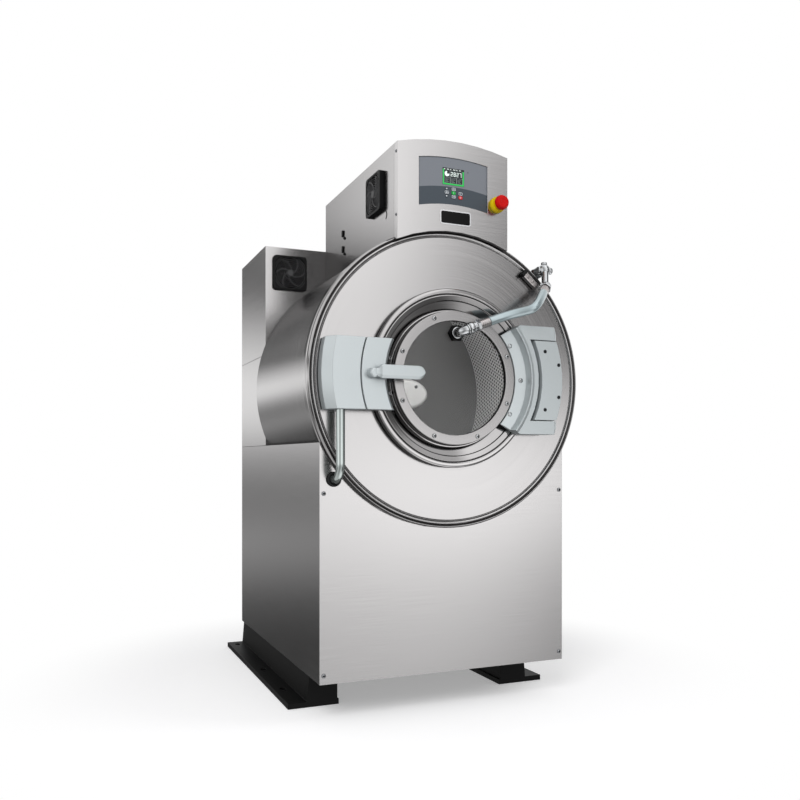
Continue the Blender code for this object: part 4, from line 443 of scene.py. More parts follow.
def refined(name, node, body, key, width, rings=2, angle=30):
    """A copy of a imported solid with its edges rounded, which stands for it."""
    bm = bmesh.new()
    bm.from_mesh(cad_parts[node].data)
    bmesh.ops.remove_doubles(bm, verts=bm.verts, dist=10 * TINY)
    bmesh.ops.dissolve_limit(bm, angle_limit=math.radians(1), verts=bm.verts, edges=bm.edges)
    crease = math.radians(angle)
    sharp = [edge for edge in bm.edges if edge.is_manifold and edge.calc_face_angle(0) > crease]
    bevelled(bm, sharp, width, rings)
    finished(name, bm, body, key, stands_for=node)


def dress(key, *nodes):
    """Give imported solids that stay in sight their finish."""
    for node in nodes:
        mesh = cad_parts[node].data
        mesh.materials.clear()
        mesh.materials.append(finish(key))


# Materials

COLOUR_MIX = {"data_type": "RGBA"}
SMOOTH_STEP = {"interpolation_type": "SMOOTHSTEP"}


def linear(colour):
    """An sRGB hex colour as linear red, green, blue and alpha; a linear colour stays as it is."""
    if not isinstance(colour, str):
        return list(colour)
    parts = [int(colour[start:start + 2], 16) / 255 for start in (1, 3, 5)]
    return [part / 12.92 if part <= 0.04045 else ((part + 0.055) / 1.055) ** 2.4 for part in parts] + [1.0]


def add(tree, kind, settings=None, inputs=None, stops=()):
    """Add a node, set its fields, set or link its inputs, and place its colour stops."""
    made = tree.nodes.new(kind)
    for field, value in (settings or {}).items():
        setattr(made, field, value)
    for socket, value in (inputs or {}).items():
        if isinstance(value, bpy.types.NodeSocket):
            tree.links.new(value, made.inputs[socket])
        else:
            made.inputs[socket].default_value = value
    for index, (place, colour) in enumerate(stops):
        stop = made.color_ramp.elements[index] if index < 2 else made.color_ramp.elements.new(place)
        stop.position = place
        stop.color = colour
    return made


def started(name, colour, roughness, metallic=0.0, **sockets):
    """A material of that name with one shader, and the tree and shader to build on."""
    made = bpy.data.materials.new(name)
    made.use_nodes = True
    tree = made.node_tree
    shader = tree.nodes["Principled BSDF"]
    values = {"Base Color": linear(colour), "Roughness": roughness, "Metallic": metallic}
    values.update({socket.replace("_", " "): value for socket, value in sockets.items()})
    for socket, value in values.items():
        shader.inputs[socket].default_value = value
    return made, tree, shader


def feed(tree, shader, **sources):
    """Link sources to the shader's sockets of those names."""
    for socket, source in sources.items():
        tree.links.new(source, shader.inputs[socket.replace("_", " ")])


def grained(tree, shader, where, colour, shade, roughness, spread, depth):
    """Let one noise pattern drive tone, roughness and relief."""
    noise = add(tree, "ShaderNodeTexNoise", None, {"Vector": where, "Scale": 1.0, "Detail": 3.0})
    tone = add(tree, "ShaderNodeMix", COLOUR_MIX,
               {"Factor": noise.outputs["Fac"], "A": linear(shade), "B": linear(colour)})
    polish = add(tree, "ShaderNodeMapRange", None,
                 {"Value": noise.outputs["Fac"], "From Min": 0.3, "From Max": 0.7,
                  "To Min": roughness - spread, "To Max": roughness + spread})
    relief = add(tree, "ShaderNodeBump", None,
                 {"Height": noise.outputs["Fac"], "Distance": depth, "Strength": 1.0})
    feed(tree, shader, Base_Color=tone.outputs["Result"], Roughness=polish.outputs["Result"],
         Normal=relief.outputs["Normal"])


def brushed_stainless(name, lines, colour="#dedcdc", shade="#cbc9c9", roughness=0.2):
    """Cold-rolled stainless sheet with a drawn grain: fine lines one way give a soft, streaked mirror.

    Real grain lines lie about 0.1 mm apart, and are drawn 1.5 mm apart so that they show.
    """
    made, tree, shader = started(name, colour, roughness, 1.0)
    place = add(tree, "ShaderNodeTexCoord")
    stretch = add(tree, "ShaderNodeMapping", None, {"Vector": place.outputs["Object"], "Scale": lines})
    grained(tree, shader, stretch.outputs["Vector"], colour, shade, roughness, 0.035, 0.00002)
    return made


def spun_stainless(name, colour="#dedcdc", shade="#c8c6c6", roughness=0.19):
    """Stainless sheet pressed and polished on a lathe: faint rings round the axis, 2 mm apart as drawn."""
    made, tree, shader = started(name, colour, roughness, 1.0)
    place = add(tree, "ShaderNodeUVMap", {"uv_map": "turned"})
    stretch = add(tree, "ShaderNodeMapping", None,
                  {"Vector": place.outputs["UV"], "Scale": (3.0, 500.0, 1.0)})
    grained(tree, shader, stretch.outputs["Vector"], colour, shade, roughness, 0.03, 0.000008)
    return made


def perforated_stainless(name, count, pitch):
    """Basket sheet punched with round holes, staggered over the tub; each hole is painted near black, painted
    shade of the tub's inside seen through it.

    Real rows lie 9 mm apart, and are drawn 13 mm apart so that they show.
    """
    hole_share = 0.34
    sheet_colour = "#cfcdcd"
    made, tree, shader = started(name, sheet_colour, 0.36, 0.6)
    place = add(tree, "ShaderNodeUVMap", {"uv_map": "turned"})
    parts = add(tree, "ShaderNodeSeparateXYZ", None, {"Vector": place.outputs["UV"]})
    across = add(tree, "ShaderNodeMath", {"operation": "DIVIDE"}, {0: parts.outputs["Y"], 1: pitch})
    row = add(tree, "ShaderNodeMath", {"operation": "FLOOR"}, {0: across.outputs[0]})
    odd = add(tree, "ShaderNodeMath", {"operation": "MODULO"}, {0: row.outputs[0], 1: 2.0})
    shift = add(tree, "ShaderNodeMath", {"operation": "MULTIPLY"}, {0: odd.outputs[0], 1: 0.5})
    along = add(tree, "ShaderNodeMath", {"operation": "MULTIPLY_ADD"},
                {0: parts.outputs["X"], 1: float(count), 2: shift.outputs[0]})
    cell = []
    for source in (along, across):
        part = add(tree, "ShaderNodeMath", {"operation": "FRACT"}, {0: source.outputs[0]})
        cell.append(add(tree, "ShaderNodeMath", {"operation": "SUBTRACT"}, {0: part.outputs[0], 1: 0.5}))
    whole = add(tree, "ShaderNodeCombineXYZ", None, {"X": cell[0].outputs[0], "Y": cell[1].outputs[0]})
    away = add(tree, "ShaderNodeVectorMath", {"operation": "LENGTH"}, {0: whole.outputs[0]})
    sheet = add(tree, "ShaderNodeMapRange", None,
                {"Value": away.outputs["Value"],
                 "From Min": hole_share - 0.05, "From Max": hole_share + 0.03})
    # Holes take near black: painted shade of the dark tub seen through them; the sheet keeps its own colour
    tone = add(tree, "ShaderNodeMix", COLOUR_MIX,
               {"Factor": sheet.outputs["Result"], "A": linear("#0b0b0c"), "B": linear(sheet_colour)})
    relief = add(tree, "ShaderNodeBump", None,
                 {"Height": sheet.outputs["Result"], "Distance": 0.002, "Strength": 1.0})
    feed(tree, shader, Base_Color=tone.outputs["Result"], Normal=relief.outputs["Normal"])
    return made


def mottled(name, colour, shade, roughness, grain_mm, depth_mm, metallic=0.0, spread=0.05, **sockets):
    """A finish with one even grain of a given width and height in millimetres."""
    made, tree, shader = started(name, colour, roughness, metallic, **sockets)
    place = add(tree, "ShaderNodeTexCoord")
    scale = 1000 / grain_mm
    stretch = add(tree, "ShaderNodeMapping", None,
                  {"Vector": place.outputs["Object"], "Scale": (scale, scale, scale)})
    grained(tree, shader, stretch.outputs["Vector"], colour, shade, roughness, spread, depth_mm / 1000)
    return made


def tempered_glass():
    """Float glass, ground flat and tempered: clear, with a faint green cast and a sharp mirror on it."""
    made, tree, shader = started("tempered door glass", "#f3f5f4", 0.0, Transmission_Weight=1.0, IOR=1.45)
    path = add(tree, "ShaderNodeLightPath")
    through = add(tree, "ShaderNodeBsdfTransparent", None, {"Color": linear("#e6efec")})
    both = add(tree, "ShaderNodeMixShader", None,
               {0: path.outputs["Is Shadow Ray"], 1: shader.outputs[0], 2: through.outputs[0]})
    tree.links.new(both.outputs[0], tree.nodes["Material Output"].inputs["Surface"])
    smear = add(tree, "ShaderNodeTexNoise", None, {"Scale": 9.0, "Detail": 2.0})
    polish = add(tree, "ShaderNodeMapRange", None,
                 {"Value": smear.outputs["Fac"], "To Min": 0.0, "To Max": 0.006})
    feed(tree, shader, Roughness=polish.outputs["Result"])
    return made


def two_tone_overlay(boundary):
    """Printed polycarbonate film, satin: paler above an arc about the drum axis, darker below it."""
    lower, upper = "#414951", "#7a7e85"
    made, tree, shader = started("printed polycarbonate film", lower, 0.42)
    place = add(tree, "ShaderNodeTexCoord")
    inward = add(tree, "ShaderNodeVectorMath", {"operation": "SUBTRACT"},
                 {0: place.outputs["Object"], 1: (0.0, 0.0, DRUM_Z)})
    flat = add(tree, "ShaderNodeVectorMath", {"operation": "MULTIPLY"},
               {0: inward.outputs[0], 1: (1.0, 0.0, 1.0)})
    away = add(tree, "ShaderNodeVectorMath", {"operation": "LENGTH"}, {0: flat.outputs[0]})
    above = add(tree, "ShaderNodeMath", {"operation": "GREATER_THAN"},
                {0: away.outputs["Value"], 1: boundary})
    speck = add(tree, "ShaderNodeTexNoise", None, {"Vector": place.outputs["Object"], "Scale": 1400.0})
    tone = add(tree, "ShaderNodeMix", COLOUR_MIX,
               {"Factor": above.outputs[0], "A": linear(lower), "B": linear(upper)})
    relief = add(tree, "ShaderNodeBump", None,
                 {"Height": speck.outputs["Fac"], "Distance": 0.00003, "Strength": 1.0})
    feed(tree, shader, Base_Color=tone.outputs["Result"], Normal=relief.outputs["Normal"])
    return made


def lit(name, colour, strength):
    """A backlit field of the display: light through a diffuser, even over its face."""
    made, tree, shader = started(name, colour, 0.3)
    shader.inputs["Emission Color"].default_value = linear(colour)
    shader.inputs["Emission Strength"].default_value = strength
    place = add(tree, "ShaderNodeTexCoord")
    rows = add(tree, "ShaderNodeTexNoise", None, {"Vector": place.outputs["Object"], "Scale": 900.0})
    dimmed = [part * 0.9 for part in linear(colour)]
    tone = add(tree, "ShaderNodeMix", COLOUR_MIX,
               {"Factor": rows.outputs["Fac"], "A": linear(colour), "B": dimmed})
    feed(tree, shader, Base_Color=tone.outputs["Result"])
    return made


def tint(field, share=1.0, group="washer_colours"):
    """One of the user's colours, or a darker share of it, as linear red, green, blue and alpha."""
    return [part * share for part in getattr(getattr(bpy.context.scene, group), field)] + [1.0]


FINISHES = {}


def finish(key):
    """One of the machine's finishes, made when it is first asked for."""
    if key not in FINISHES:
        FINISHES[key] = MAKERS[key]()
    return FINISHES[key]


HOLES_ROUND = 192
HOLE_PITCH = 0.0130
FILM_ARC_R = 0.5635

# A mottled finish has its colour and shade, roughness, width and height of its grain in millimetres,
# and where they matter its metallic share and the spread of its roughness
MAKERS = {
    "panel": lambda: brushed_stainless("brushed stainless panel", (6.0, 6.0, 700.0)),
    "side": lambda: brushed_stainless("brushed stainless side sheet", (700.0, 6.0, 700.0),
                                      "#d1cfcf", "#bebcbc"),
    "shell": lambda: spun_stainless("rolled stainless tub shell", "#d6d4d4", "#c4c2c2", 0.2),
    "head": lambda: spun_stainless("pressed stainless head", "#dbd9d9", "#c8c6c6", 0.2),
    "door": lambda: spun_stainless("spun stainless door pan", "#d0cece", "#bbb9b9", 0.11),
    "ring": lambda: spun_stainless("turned stainless clamp ring", "#c8c6c6", "#b5b3b3", 0.24),
    "basket": lambda: perforated_stainless("punched basket sheet", HOLES_ROUND, HOLE_PITCH),
    # Basket back as rolled: a satin sheet with a faint cloud, its stainless drawn far darker than the other
    # steel as painted shade of the basket's inside
    "shade-darkened basket": lambda: mottled("basket disc", "#7c7b7b", "#747373", 0.38, 45.0, 0.02, 0.9, 0.04),
    # Sand-cast aluminium under two-part epoxy: a fine orange peel, 5 mm wide, softens the highlight
    "casting": lambda: mottled("epoxy-painted casting", tint("casting"), tint("casting", 0.95), 0.30, 5.0,
                               0.0040, 0.6, 0.02),
    # Textured polyester powder on steel: a 1.5 mm grain breaks up the sheen
    "base": lambda: mottled("black powder-coated steel", tint("base"), tint("base", 0.7), 0.52, 1.5, 0.05,
                            0.0, 0.06, Specular_IOR_Level=0.2),
    # Pressed and polished cover: bright, with a softer mirror than the basket's sheet
    "hub": lambda: mottled("polished hub cover", "#dedcdb", "#d2d0cf", 0.42, 6.0, 0.004, 0.5, 0.03),
    # Blackened steel socket screws
    "dark screw": lambda: mottled("blackened screw", "#303336", "#232528", 0.35, 1.5, 0.01, 0.8, 0.05),
    # Crimped and zinc-plated sleeves: a cloudy mirror with a warm cast
    "sleeve": lambda: mottled("crimped plated sleeve", "#e2dcdb", "#cfc9c8", 0.28, 1.5, 0.01, 1.0, 0.06),
    # Aluminium tube under clear lacquer: near a mirror, with a green-grey cast
    "conduit": lambda: mottled("lacquered aluminium tube", "#d3dbd9", "#c8d1cf", 0.14, 6.0, 0.002, 0.9, 0.03,
                               Coat_Weight=0.4),
    # Moulded guard wires and hub: the frame's black plastic drawn dark grey, a painted sheen where the thin
    # wires catch light
    "grille": lambda: mottled("satin black guard wires", "#4a4a4b", "#3e3e3f", 0.40, 1.0, 0.01, 0.0, 0.05),
    # White screen print on film and keys
    "print": lambda: mottled("white screen print", "#e9ecee", "#dfe3e6", 0.5, 0.6, 0.003),
    "display grey": lambda: lit("pale display field", "#8f9897", 0.10),
    # Polished rim of the blank plate
    "bright rim": lambda: mottled("polished plate rim", "#f0f0f2", "#e2e2e5", 0.25, 2.0, 0.002, 0.55, 0.03),
    # Black lacquer: deep and smooth
    "gloss black": lambda: mottled("black gloss lacquer", "#060607", "#040405", 0.18, 3.0, 0.003, 0.0, 0.02,
                                   Specular_IOR_Level=0.2),
    # Moulded EPDM: deep black, dull, with a dusty bloom; it also gives the painted shade on the screws'
    # socket floors
    "rubber": lambda: mottled("moulded EPDM rubber", "#1b1b1c", "#111112", 0.72, 2.5, 0.03, 0.0, 0.08),
    # Brass plated with nickel and chrome: a hard bright mirror, hardly any grain
    "chrome": lambda: mottled("chrome-plated brass", "#dfe1e3", "#d2d4d6", 0.1, 6.0, 0.004, 1.0, 0.03),
    # Zinc-plated steel screws: bright but slightly cloudy
    "screw": lambda: mottled("zinc-plated steel", "#b9bbbf", "#9c9ea2", 0.28, 1.5, 0.01, 1.0, 0.06),
    # Extruded PVC over braid: smooth and pale with a soft sheen
    "hose": lambda: mottled("extruded PVC hose cover", tint("hose"), tint("hose", 0.93), 0.14, 5.0, 0.004,
                            0.55, 0.03, Coat_Weight=0.6),
    # Glass-filled ABS as moulded: black with a 1 mm spark texture
    "black": lambda: mottled("moulded black ABS", "#0d0d0e", "#080809", 0.46, 1.0, 0.03, 0.0, 0.05,
                             Specular_IOR_Level=0.35),
    # Yellow ABS as moulded: even, glossy, a little deeper in its grain
    "yellow": lambda: mottled("moulded yellow ABS", tint("stop_base"), tint("stop_base", 0.92), 0.42, 1.2,
                              0.01, 0.0, 0.04, Specular_IOR_Level=0.3),
    # Red ABS as moulded and polished
    "red": lambda: mottled("moulded red ABS", tint("stop_button"), tint("stop_button", 0.92), 0.42, 1.2,
                           0.01, 0.0, 0.04, Specular_IOR_Level=0.25),
    # Silicone rubber keys as moulded: matt, colour through and through
    "grey key": lambda: mottled("grey silicone key", "#5a626b", "#525a63", 0.55, 0.8, 0.01),
    "green key": lambda: mottled("green silicone key", "#1fae46", "#1a9f3f", 0.55, 0.8, 0.01),
    "red key": lambda: mottled("red silicone key", "#d41f2b", "#c51a25", 0.55, 0.8, 0.01),
    # Grey iron as cast, with a 3 mm grain
    "iron": lambda: mottled("grey cast iron", "#4a4a4c", "#3a3a3c", 0.6, 3.0, 0.12, 0.6),
    # Stoving enamel on the motor
    "motor": lambda: mottled("enamelled motor frame", "#5a5d61", "#505357", 0.4, 2.5, 0.03),
    # Turned and ground steel
    "steel": lambda: mottled("ground steel shaft", "#cbc9c9", "#b5b6b9", 0.22, 2.0, 0.01, 1.0),
    "glass": tempered_glass,
    "overlay": lambda: two_tone_overlay(FILM_ARC_R),
    "floor": lambda: painted_concrete(tint("floor", group="washer_light")),
    # Acrylic lens over an unlit display: near black, very smooth
    "lens": lambda: mottled("acrylic display lens", "#23272a", "#1d2124", 0.12, 8.0, 0.002, 0.0, 0.02),
    "display green": lambda: lit("green display field", "#27b24f", 0.35),
    "display white": lambda: lit("white display field", "#dfe8e4", 0.45),
    "display dark": lambda: mottled("dark display field", "#20282b", "#1a2124", 0.25, 2.0, 0.002),
}


# What the user can set

def length_field(name, description, default, least, most):
    return bpy.props.FloatProperty(name=name, description=description, default=default, min=least, max=most,
                                   subtype="DISTANCE", unit="LENGTH")


def power_field(name, description, default, most):
    return bpy.props.FloatProperty(name=name, description=description, default=default, min=0.0, max=most,
                                   subtype="POWER", unit="POWER")


def colour_field(name, description, colour):
    return bpy.props.FloatVectorProperty(name=name, description=description, size=3, subtype="COLOR",
                                         default=tuple(linear(colour)[:3]), min=0.0, max=1.0)


class WasherSizes(bpy.types.PropertyGroup):
    """Sizes of the visible pieces."""
    round_steps: bpy.props.IntProperty(
        name="Round steps", description="Facets round the tub and the head", default=160, min=48, max=360)
    panel_edge: length_field("Sheet edge", "Rounding of the folded sheet's edges", 0.0009, 0.0002, 0.003)
    casting_edge: length_field("Casting edge", "Twice the rounding of the latch", 0.004, 0.0005, 0.008)
    screw_radius: length_field("Panel screw radius", "Head radius of the panel screws", 0.0065, 0.003, 0.012)


class WasherColours(bpy.types.PropertyGroup):
    """Colours of the painted and moulded pieces."""
    casting: colour_field("Castings", "Paint of the handle, the latch and the hinge", "#d2d9db")
    base: colour_field("Base", "Powder coat of the base", "#090909")
    hose: colour_field("Hose", "Cover of the spray hose", "#b9c8cc")
    stop_button: colour_field("Stop button", "Head of the stop button", "#c80705")
    stop_base: colour_field("Stop button base", "Collar of the stop button", "#d8bc04")


class WasherLight(bpy.types.PropertyGroup):
    """Light and background of the stage."""
    fill: bpy.props.FloatProperty(
        name="Fill", description="Even light from all round", default=0.46, min=0.0, max=2.0)
    key_power: power_field("Key lamp", "Power of the large lamp at the left", 110.0, 1000.0)
    side_power: power_field("Side lamp", "Power of the lamp at the right", 30.0, 1000.0)
    basket_power: power_field("Basket lamp", "Power of the lamp that lights the basket's inside", 5.0, 50.0)
    floor: colour_field("Floor", "Colour of the floor", "#ededee")


KEY_LAMP_PLACE = (-2.4, -3.4, 3.0)
KEY_LAMP_SIZE = 2.0
SIDE_LAMP_PLACE = (3.2, -2.2, 2.6)
SIDE_LAMP_SIZE = 1.8
LAMPS_LOOK_AT = Vector((0, 0, 0.8))
# The basket lamp hangs in the top of the basket and looks at its right wall, both from the drum axis
BASKET_LAMP_PLACE = (0.0, 0.09, 0.22)
BASKET_LAMP_SIZE = 0.16
BASKET_WALL_PLACE = (0.34, 0.42, -0.02)


class WASHER_OT_stage(bpy.types.Operator):
    """Set the camera, the floor, the lamps and the background"""
    bl_idname = "washer.stage"
    bl_label = "Stage"

    def execute(self, context):
        light = context.scene.washer_light
        context.scene.view_settings.view_transform = "Standard"
        add_camera(context)
        add_background(context, light.fill)
        add_floor()
        add_lamp("key lamp", KEY_LAMP_PLACE, KEY_LAMP_SIZE, light.key_power, LAMPS_LOOK_AT)
        add_lamp("side lamp", SIDE_LAMP_PLACE, SIDE_LAMP_SIZE, light.side_power, LAMPS_LOOK_AT)
        add_lamp("basket lamp", at_drum(*BASKET_LAMP_PLACE), BASKET_LAMP_SIZE, light.basket_power,
                 at_drum(*BASKET_WALL_PLACE))
        return {"FINISHED"}


LENS_MM = 37.65
LENS_SHIFT = (-0.0075, 0.074)
CAMERA_X = -1.0942
CAMERA_PROUD = 2.2457
CAMERA_HEIGHT = 0.7485
CAMERA_TURN = -0.4028


def add_camera(context):
    """The photograph's camera: level, at the left of the machine's front."""
    lens = bpy.data.cameras.new("camera")
    lens.lens = LENS_MM
    lens.shift_x, lens.shift_y = LENS_SHIFT
    lens.clip_end = 60
    camera = bpy.data.objects.new("camera", lens)
    camera.location = (CAMERA_X, PANEL_Y - CAMERA_PROUD, CAMERA_HEIGHT)
    camera.rotation_euler = (math.pi / 2, 0, CAMERA_TURN)
    context.scene.collection.objects.link(camera)
    context.scene.camera = camera


def grey(level):
    return (level, level, level, 1.0)


def at_height(degrees):
    """Place on a colour ramp of a direction's height above the horizon."""
    return (math.sin(math.radians(degrees)) + 1) / 2


# What a mirror meets in front of the machine and behind it: degrees above the horizon and level
FRONT_SWEEP = (
    (-85, 0.95), (-50, 0.72), (-36, 0.52), (-24, 0.46), (-15, 0.49), (-12.5, 0.55), (-10, 0.60), (-8, 0.68),
    (-6, 0.85), (-3.5, 1.02), (-0.5, 1.04), (1.5, 0.90), (4, 0.82), (9, 0.78), (12, 0.84), (15, 0.96),
    (20, 0.96), (28, 0.85), (45, 0.95), (80, 1.0))
BACK_SWEEP = (
    (-60, 0.42), (-25, 0.36), (-19, 0.17), (-15.5, 0.04), (-12, 0.035), (-9.5, 0.07), (-7, 0.19),
    (-5.5, 0.24), (-3.5, 0.17), (-1.8, 0.16), (0, 0.27), (1.2, 0.42), (2.7, 0.62), (5, 0.68), (8, 0.43),
    (11, 0.10), (13.5, 0.09), (25, 0.08))
# The plain room above and beside them
ROOM = ((-80, 0.40), (-30, 0.42), (-12, 0.48), (0, 0.54), (14, 0.66), (30, 0.62), (60, 0.55), (85, 0.55))

# From the left (-1) to the right (1): shares of the front sweep low and high, and levels high up behind
LOW_SHARES = (
    (-1.0, 0.95), (-0.88, 0.75), (-0.6, 0.28), (-0.3, 0.40), (0.0, 0.80), (0.33, 0.86), (0.38, 0.98),
    (0.55, 0.98), (0.66, 0.32), (0.85, 0.08), (1.0, 0.10))
HIGH_SHARES = (
    (-1.0, 0.95), (-0.88, 0.60), (-0.6, 0.25), (0.0, 0.78), (0.3, 0.92), (0.355, 1.0), (0.375, 0.92),
    (0.40, 0.76), (0.42, 0.58), (0.445, 0.40), (0.465, 0.22), (0.50, 0.05), (0.62, 0.04), (1.0, 0.10))
PATCH_LEVELS = ((-1.0, 0.50), (-0.45, 0.78), (-0.36, 0.78), (-0.325, 0.56), (-0.29, 0.40), (-0.24, 0.08),
                (0.1, 0.05), (1.0, 0.05))

# Two dark flags low on the right shade the front panel's edge and the door's dish, a pale one above them
# lights the dish's foot: each with its direction, how near it is full, how far it reaches, and its level
FLAGS = (((0.60, -0.78, -0.17), 0.02, 0.17, 0.24), ((0.58, -0.66, -0.47), 0.14, 0.36, 0.05),
         ((0.58, -0.66, 0.47), 0.10, 0.32, 0.42))


def add_background(context, fill):
    """White past the machine, direct or through glass, a graded sweep in its metal, even light elsewhere."""
    world = bpy.data.worlds.new("studio")
    context.scene.world = world
    world.use_nodes = True
    tree = world.node_tree
    tree.nodes.clear()
    place = add(tree, "ShaderNodeTexCoord")
    parts = add(tree, "ShaderNodeSeparateXYZ", None, {"Vector": place.outputs["Generated"]})
    level = [add(tree, "ShaderNodeMapRange", None,
                 {"Value": parts.outputs[axis], "From Min": -1.0, "From Max": 1.0})
             for axis in ("X", "Z")]
    side, height = (node.outputs["Result"] for node in level)
    steps = [add(tree, "ShaderNodeMapRange", SMOOTH_STEP,
                 {"Value": height, "From Min": at_height(low), "From Max": at_height(high)})
             for low, high in ((2.2, 7.8), (12.5, 16.5), (23.0, 32.0))]
    in_front, behind_low, behind_room = (
        add(tree, "ShaderNodeValToRGB", None, {"Fac": height},
            [(at_height(angle), grey(level)) for angle, level in stops])
        for stops in (FRONT_SWEEP, BACK_SWEEP, ROOM))
    low_share, high_share, patch = (
        add(tree, "ShaderNodeValToRGB", None, {"Fac": side},
            [((x + 1) / 2, grey(level)) for x, level in stops])
        for stops in (LOW_SHARES, HIGH_SHARES, PATCH_LEVELS))
    shares = add(tree, "ShaderNodeMix", COLOUR_MIX,
                 {"Factor": steps[0].outputs["Result"], "A": low_share.outputs["Color"],
                  "B": high_share.outputs["Color"]})
    front = add(tree, "ShaderNodeMix", {"data_type": "RGBA", "blend_type": "MULTIPLY"},
                {"Factor": 1.0, "A": in_front.outputs["Color"], "B": shares.outputs["Result"]})
    for flag, near, far, level in FLAGS:
        apart = add(tree, "ShaderNodeVectorMath", {"operation": "DISTANCE"},
                    {0: place.outputs["Generated"], 1: flag})
        share = add(tree, "ShaderNodeMapRange", SMOOTH_STEP,
                    {"Value": apart.outputs["Value"], "From Min": near, "From Max": far,
                     "To Min": 1.0, "To Max": 0.0})
        front = add(tree, "ShaderNodeMix", COLOUR_MIX,
                    {"Factor": share.outputs["Result"], "A": front.outputs["Result"], "B": grey(level)})
    patched = add(tree, "ShaderNodeMix", COLOUR_MIX,
                  {"Factor": steps[1].outputs["Result"], "A": behind_low.outputs["Color"],
                   "B": patch.outputs["Color"]})
    right_side = add(tree, "ShaderNodeMapRange", SMOOTH_STEP,
                     {"Value": parts.outputs["X"], "From Min": 0.08, "From Max": 0.28})
    open_room = add(tree, "ShaderNodeMath", {"operation": "MAXIMUM"},
                    {0: steps[2].outputs["Result"], 1: right_side.outputs["Result"]})
    back = add(tree, "ShaderNodeMix", COLOUR_MIX,
               {"Factor": open_room.outputs[0], "A": patched.outputs["Result"],
                "B": behind_room.outputs["Color"]})
    facing_front = add(tree, "ShaderNodeMapRange", SMOOTH_STEP,
                       {"Value": parts.outputs["Y"], "From Min": 0.35, "From Max": -0.35})
    sweep = add(tree, "ShaderNodeMix", COLOUR_MIX,
                {"Factor": facing_front.outputs["Result"], "A": back.outputs["Result"],
                 "B": front.outputs["Result"]})
    path = add(tree, "ShaderNodeLightPath")
    straight = add(tree, "ShaderNodeMath", {"operation": "LESS_THAN"},
                   {0: path.outputs["Glossy Depth"], 1: 0.5})
    through = add(tree, "ShaderNodeMath", {"operation": "MULTIPLY"},
                  {0: path.outputs["Is Transmission Ray"], 1: straight.outputs[0]})
    past = add(tree, "ShaderNodeMath", {"operation": "MAXIMUM"},
               {0: path.outputs["Is Camera Ray"], 1: through.outputs[0]})
    mirrored = add(tree, "ShaderNodeMath", {"operation": "GREATER_THAN"},
                   {0: path.outputs["Glossy Depth"], 1: 0.5})
    in_metal = add(tree, "ShaderNodeMath", {"operation": "MAXIMUM"},
                   {0: path.outputs["Is Glossy Ray"], 1: mirrored.outputs[0]})
    lit_even = add(tree, "ShaderNodeBackground", None, {"Color": grey(1.0), "Strength": fill})
    # Brushed steel seen in brushed steel loses more light than its shader does
    strength = add(tree, "ShaderNodeMapRange", None,
                   {"Value": path.outputs["Glossy Depth"], "From Min": 1.2, "From Max": 1.8,
                    "To Min": 1.45, "To Max": 0.28})
    graded = add(tree, "ShaderNodeBackground", None,
                 {"Color": sweep.outputs["Result"], "Strength": strength.outputs["Result"]})
    white = add(tree, "ShaderNodeBackground", None, {"Color": grey(1.0), "Strength": 1.0})
    inner = add(tree, "ShaderNodeMixShader", None,
                {0: in_metal.outputs[0], 1: lit_even.outputs[0], 2: graded.outputs[0]})
    outer = add(tree, "ShaderNodeMixShader", None,
                {0: past.outputs[0], 1: inner.outputs[0], 2: white.outputs[0]})
    add(tree, "ShaderNodeOutputWorld", None, {"Surface": outer.outputs[0]})


FLOOR_R = 3.2
FLOOR_DROP = 0.0005


def add_floor():
    """A pale floor that keeps the shadow and fades into the background."""
    bm = bmesh.new()
    bmesh.ops.create_circle(bm, cap_ends=True, segments=96, radius=FLOOR_R)
    made = finished("floor", bm, None, "floor")
    made.location.z = -FLOOR_DROP
    made.visible_glossy = False


def painted_concrete(colour):
    """Painted concrete, rolled: matt, with a faint cloudiness 0.4 m wide."""
    made, tree, shader = started("painted floor", "#ededee", 0.9, Specular_IOR_Level=0.1)
    place = add(tree, "ShaderNodeTexCoord")
    cloud = add(tree, "ShaderNodeTexNoise", None, {"Vector": place.outputs["Object"], "Scale": 2.5})
    dimmed = [part * 0.985 for part in colour[:3]] + [1.0]
    tone = add(tree, "ShaderNodeMix", COLOUR_MIX, {"Factor": cloud.outputs["Fac"], "A": colour, "B": dimmed})
    # Past the machine's shadow the floor gives way to plain white
    away = add(tree, "ShaderNodeVectorMath", {"operation": "LENGTH"}, {0: place.outputs["Object"]})
    fade = add(tree, "ShaderNodeMapRange", SMOOTH_STEP,
               {"Value": away.outputs["Value"], "From Min": 0.75, "From Max": 1.35})
    path = add(tree, "ShaderNodeLightPath")
    seen_direct = path.outputs["Is Camera Ray"]
    glow = add(tree, "ShaderNodeEmission", None, {"Color": grey(1.0), "Strength": seen_direct})
    clear = add(tree, "ShaderNodeBsdfTransparent")
    beyond = add(tree, "ShaderNodeMixShader", None,
                 {0: seen_direct, 1: clear.outputs[0], 2: glow.outputs[0]})
    shader.inputs["Emission Color"].default_value = grey(1.0)
    lift = add(tree, "ShaderNodeMath", {"operation": "MULTIPLY"}, {0: seen_direct, 1: 0.34})
    feed(tree, shader, Base_Color=tone.outputs["Result"], Emission_Strength=lift.outputs[0])
    both = add(tree, "ShaderNodeMixShader", None,
               {0: fade.outputs["Result"], 1: shader.outputs[0], 2: beyond.outputs[0]})
    tree.links.new(both.outputs[0], tree.nodes["Material Output"].inputs["Surface"])
    return made


def add_lamp(name, place, size, power, target):
    """A square soft lamp that looks at its target and shows in no mirror."""
    lamp = bpy.data.lights.new(name, "AREA")
    lamp.energy = power
    lamp.size = size
    made = bpy.data.objects.new(name, lamp)
    made.location = place
    made.rotation_euler = (Vector(place) - target).to_track_quat("Z", "Y").to_euler()
    made.visible_glossy = False
    made.visible_camera = False
    made.visible_transmission = False
    bpy.context.scene.collection.objects.link(made)


# Pieces

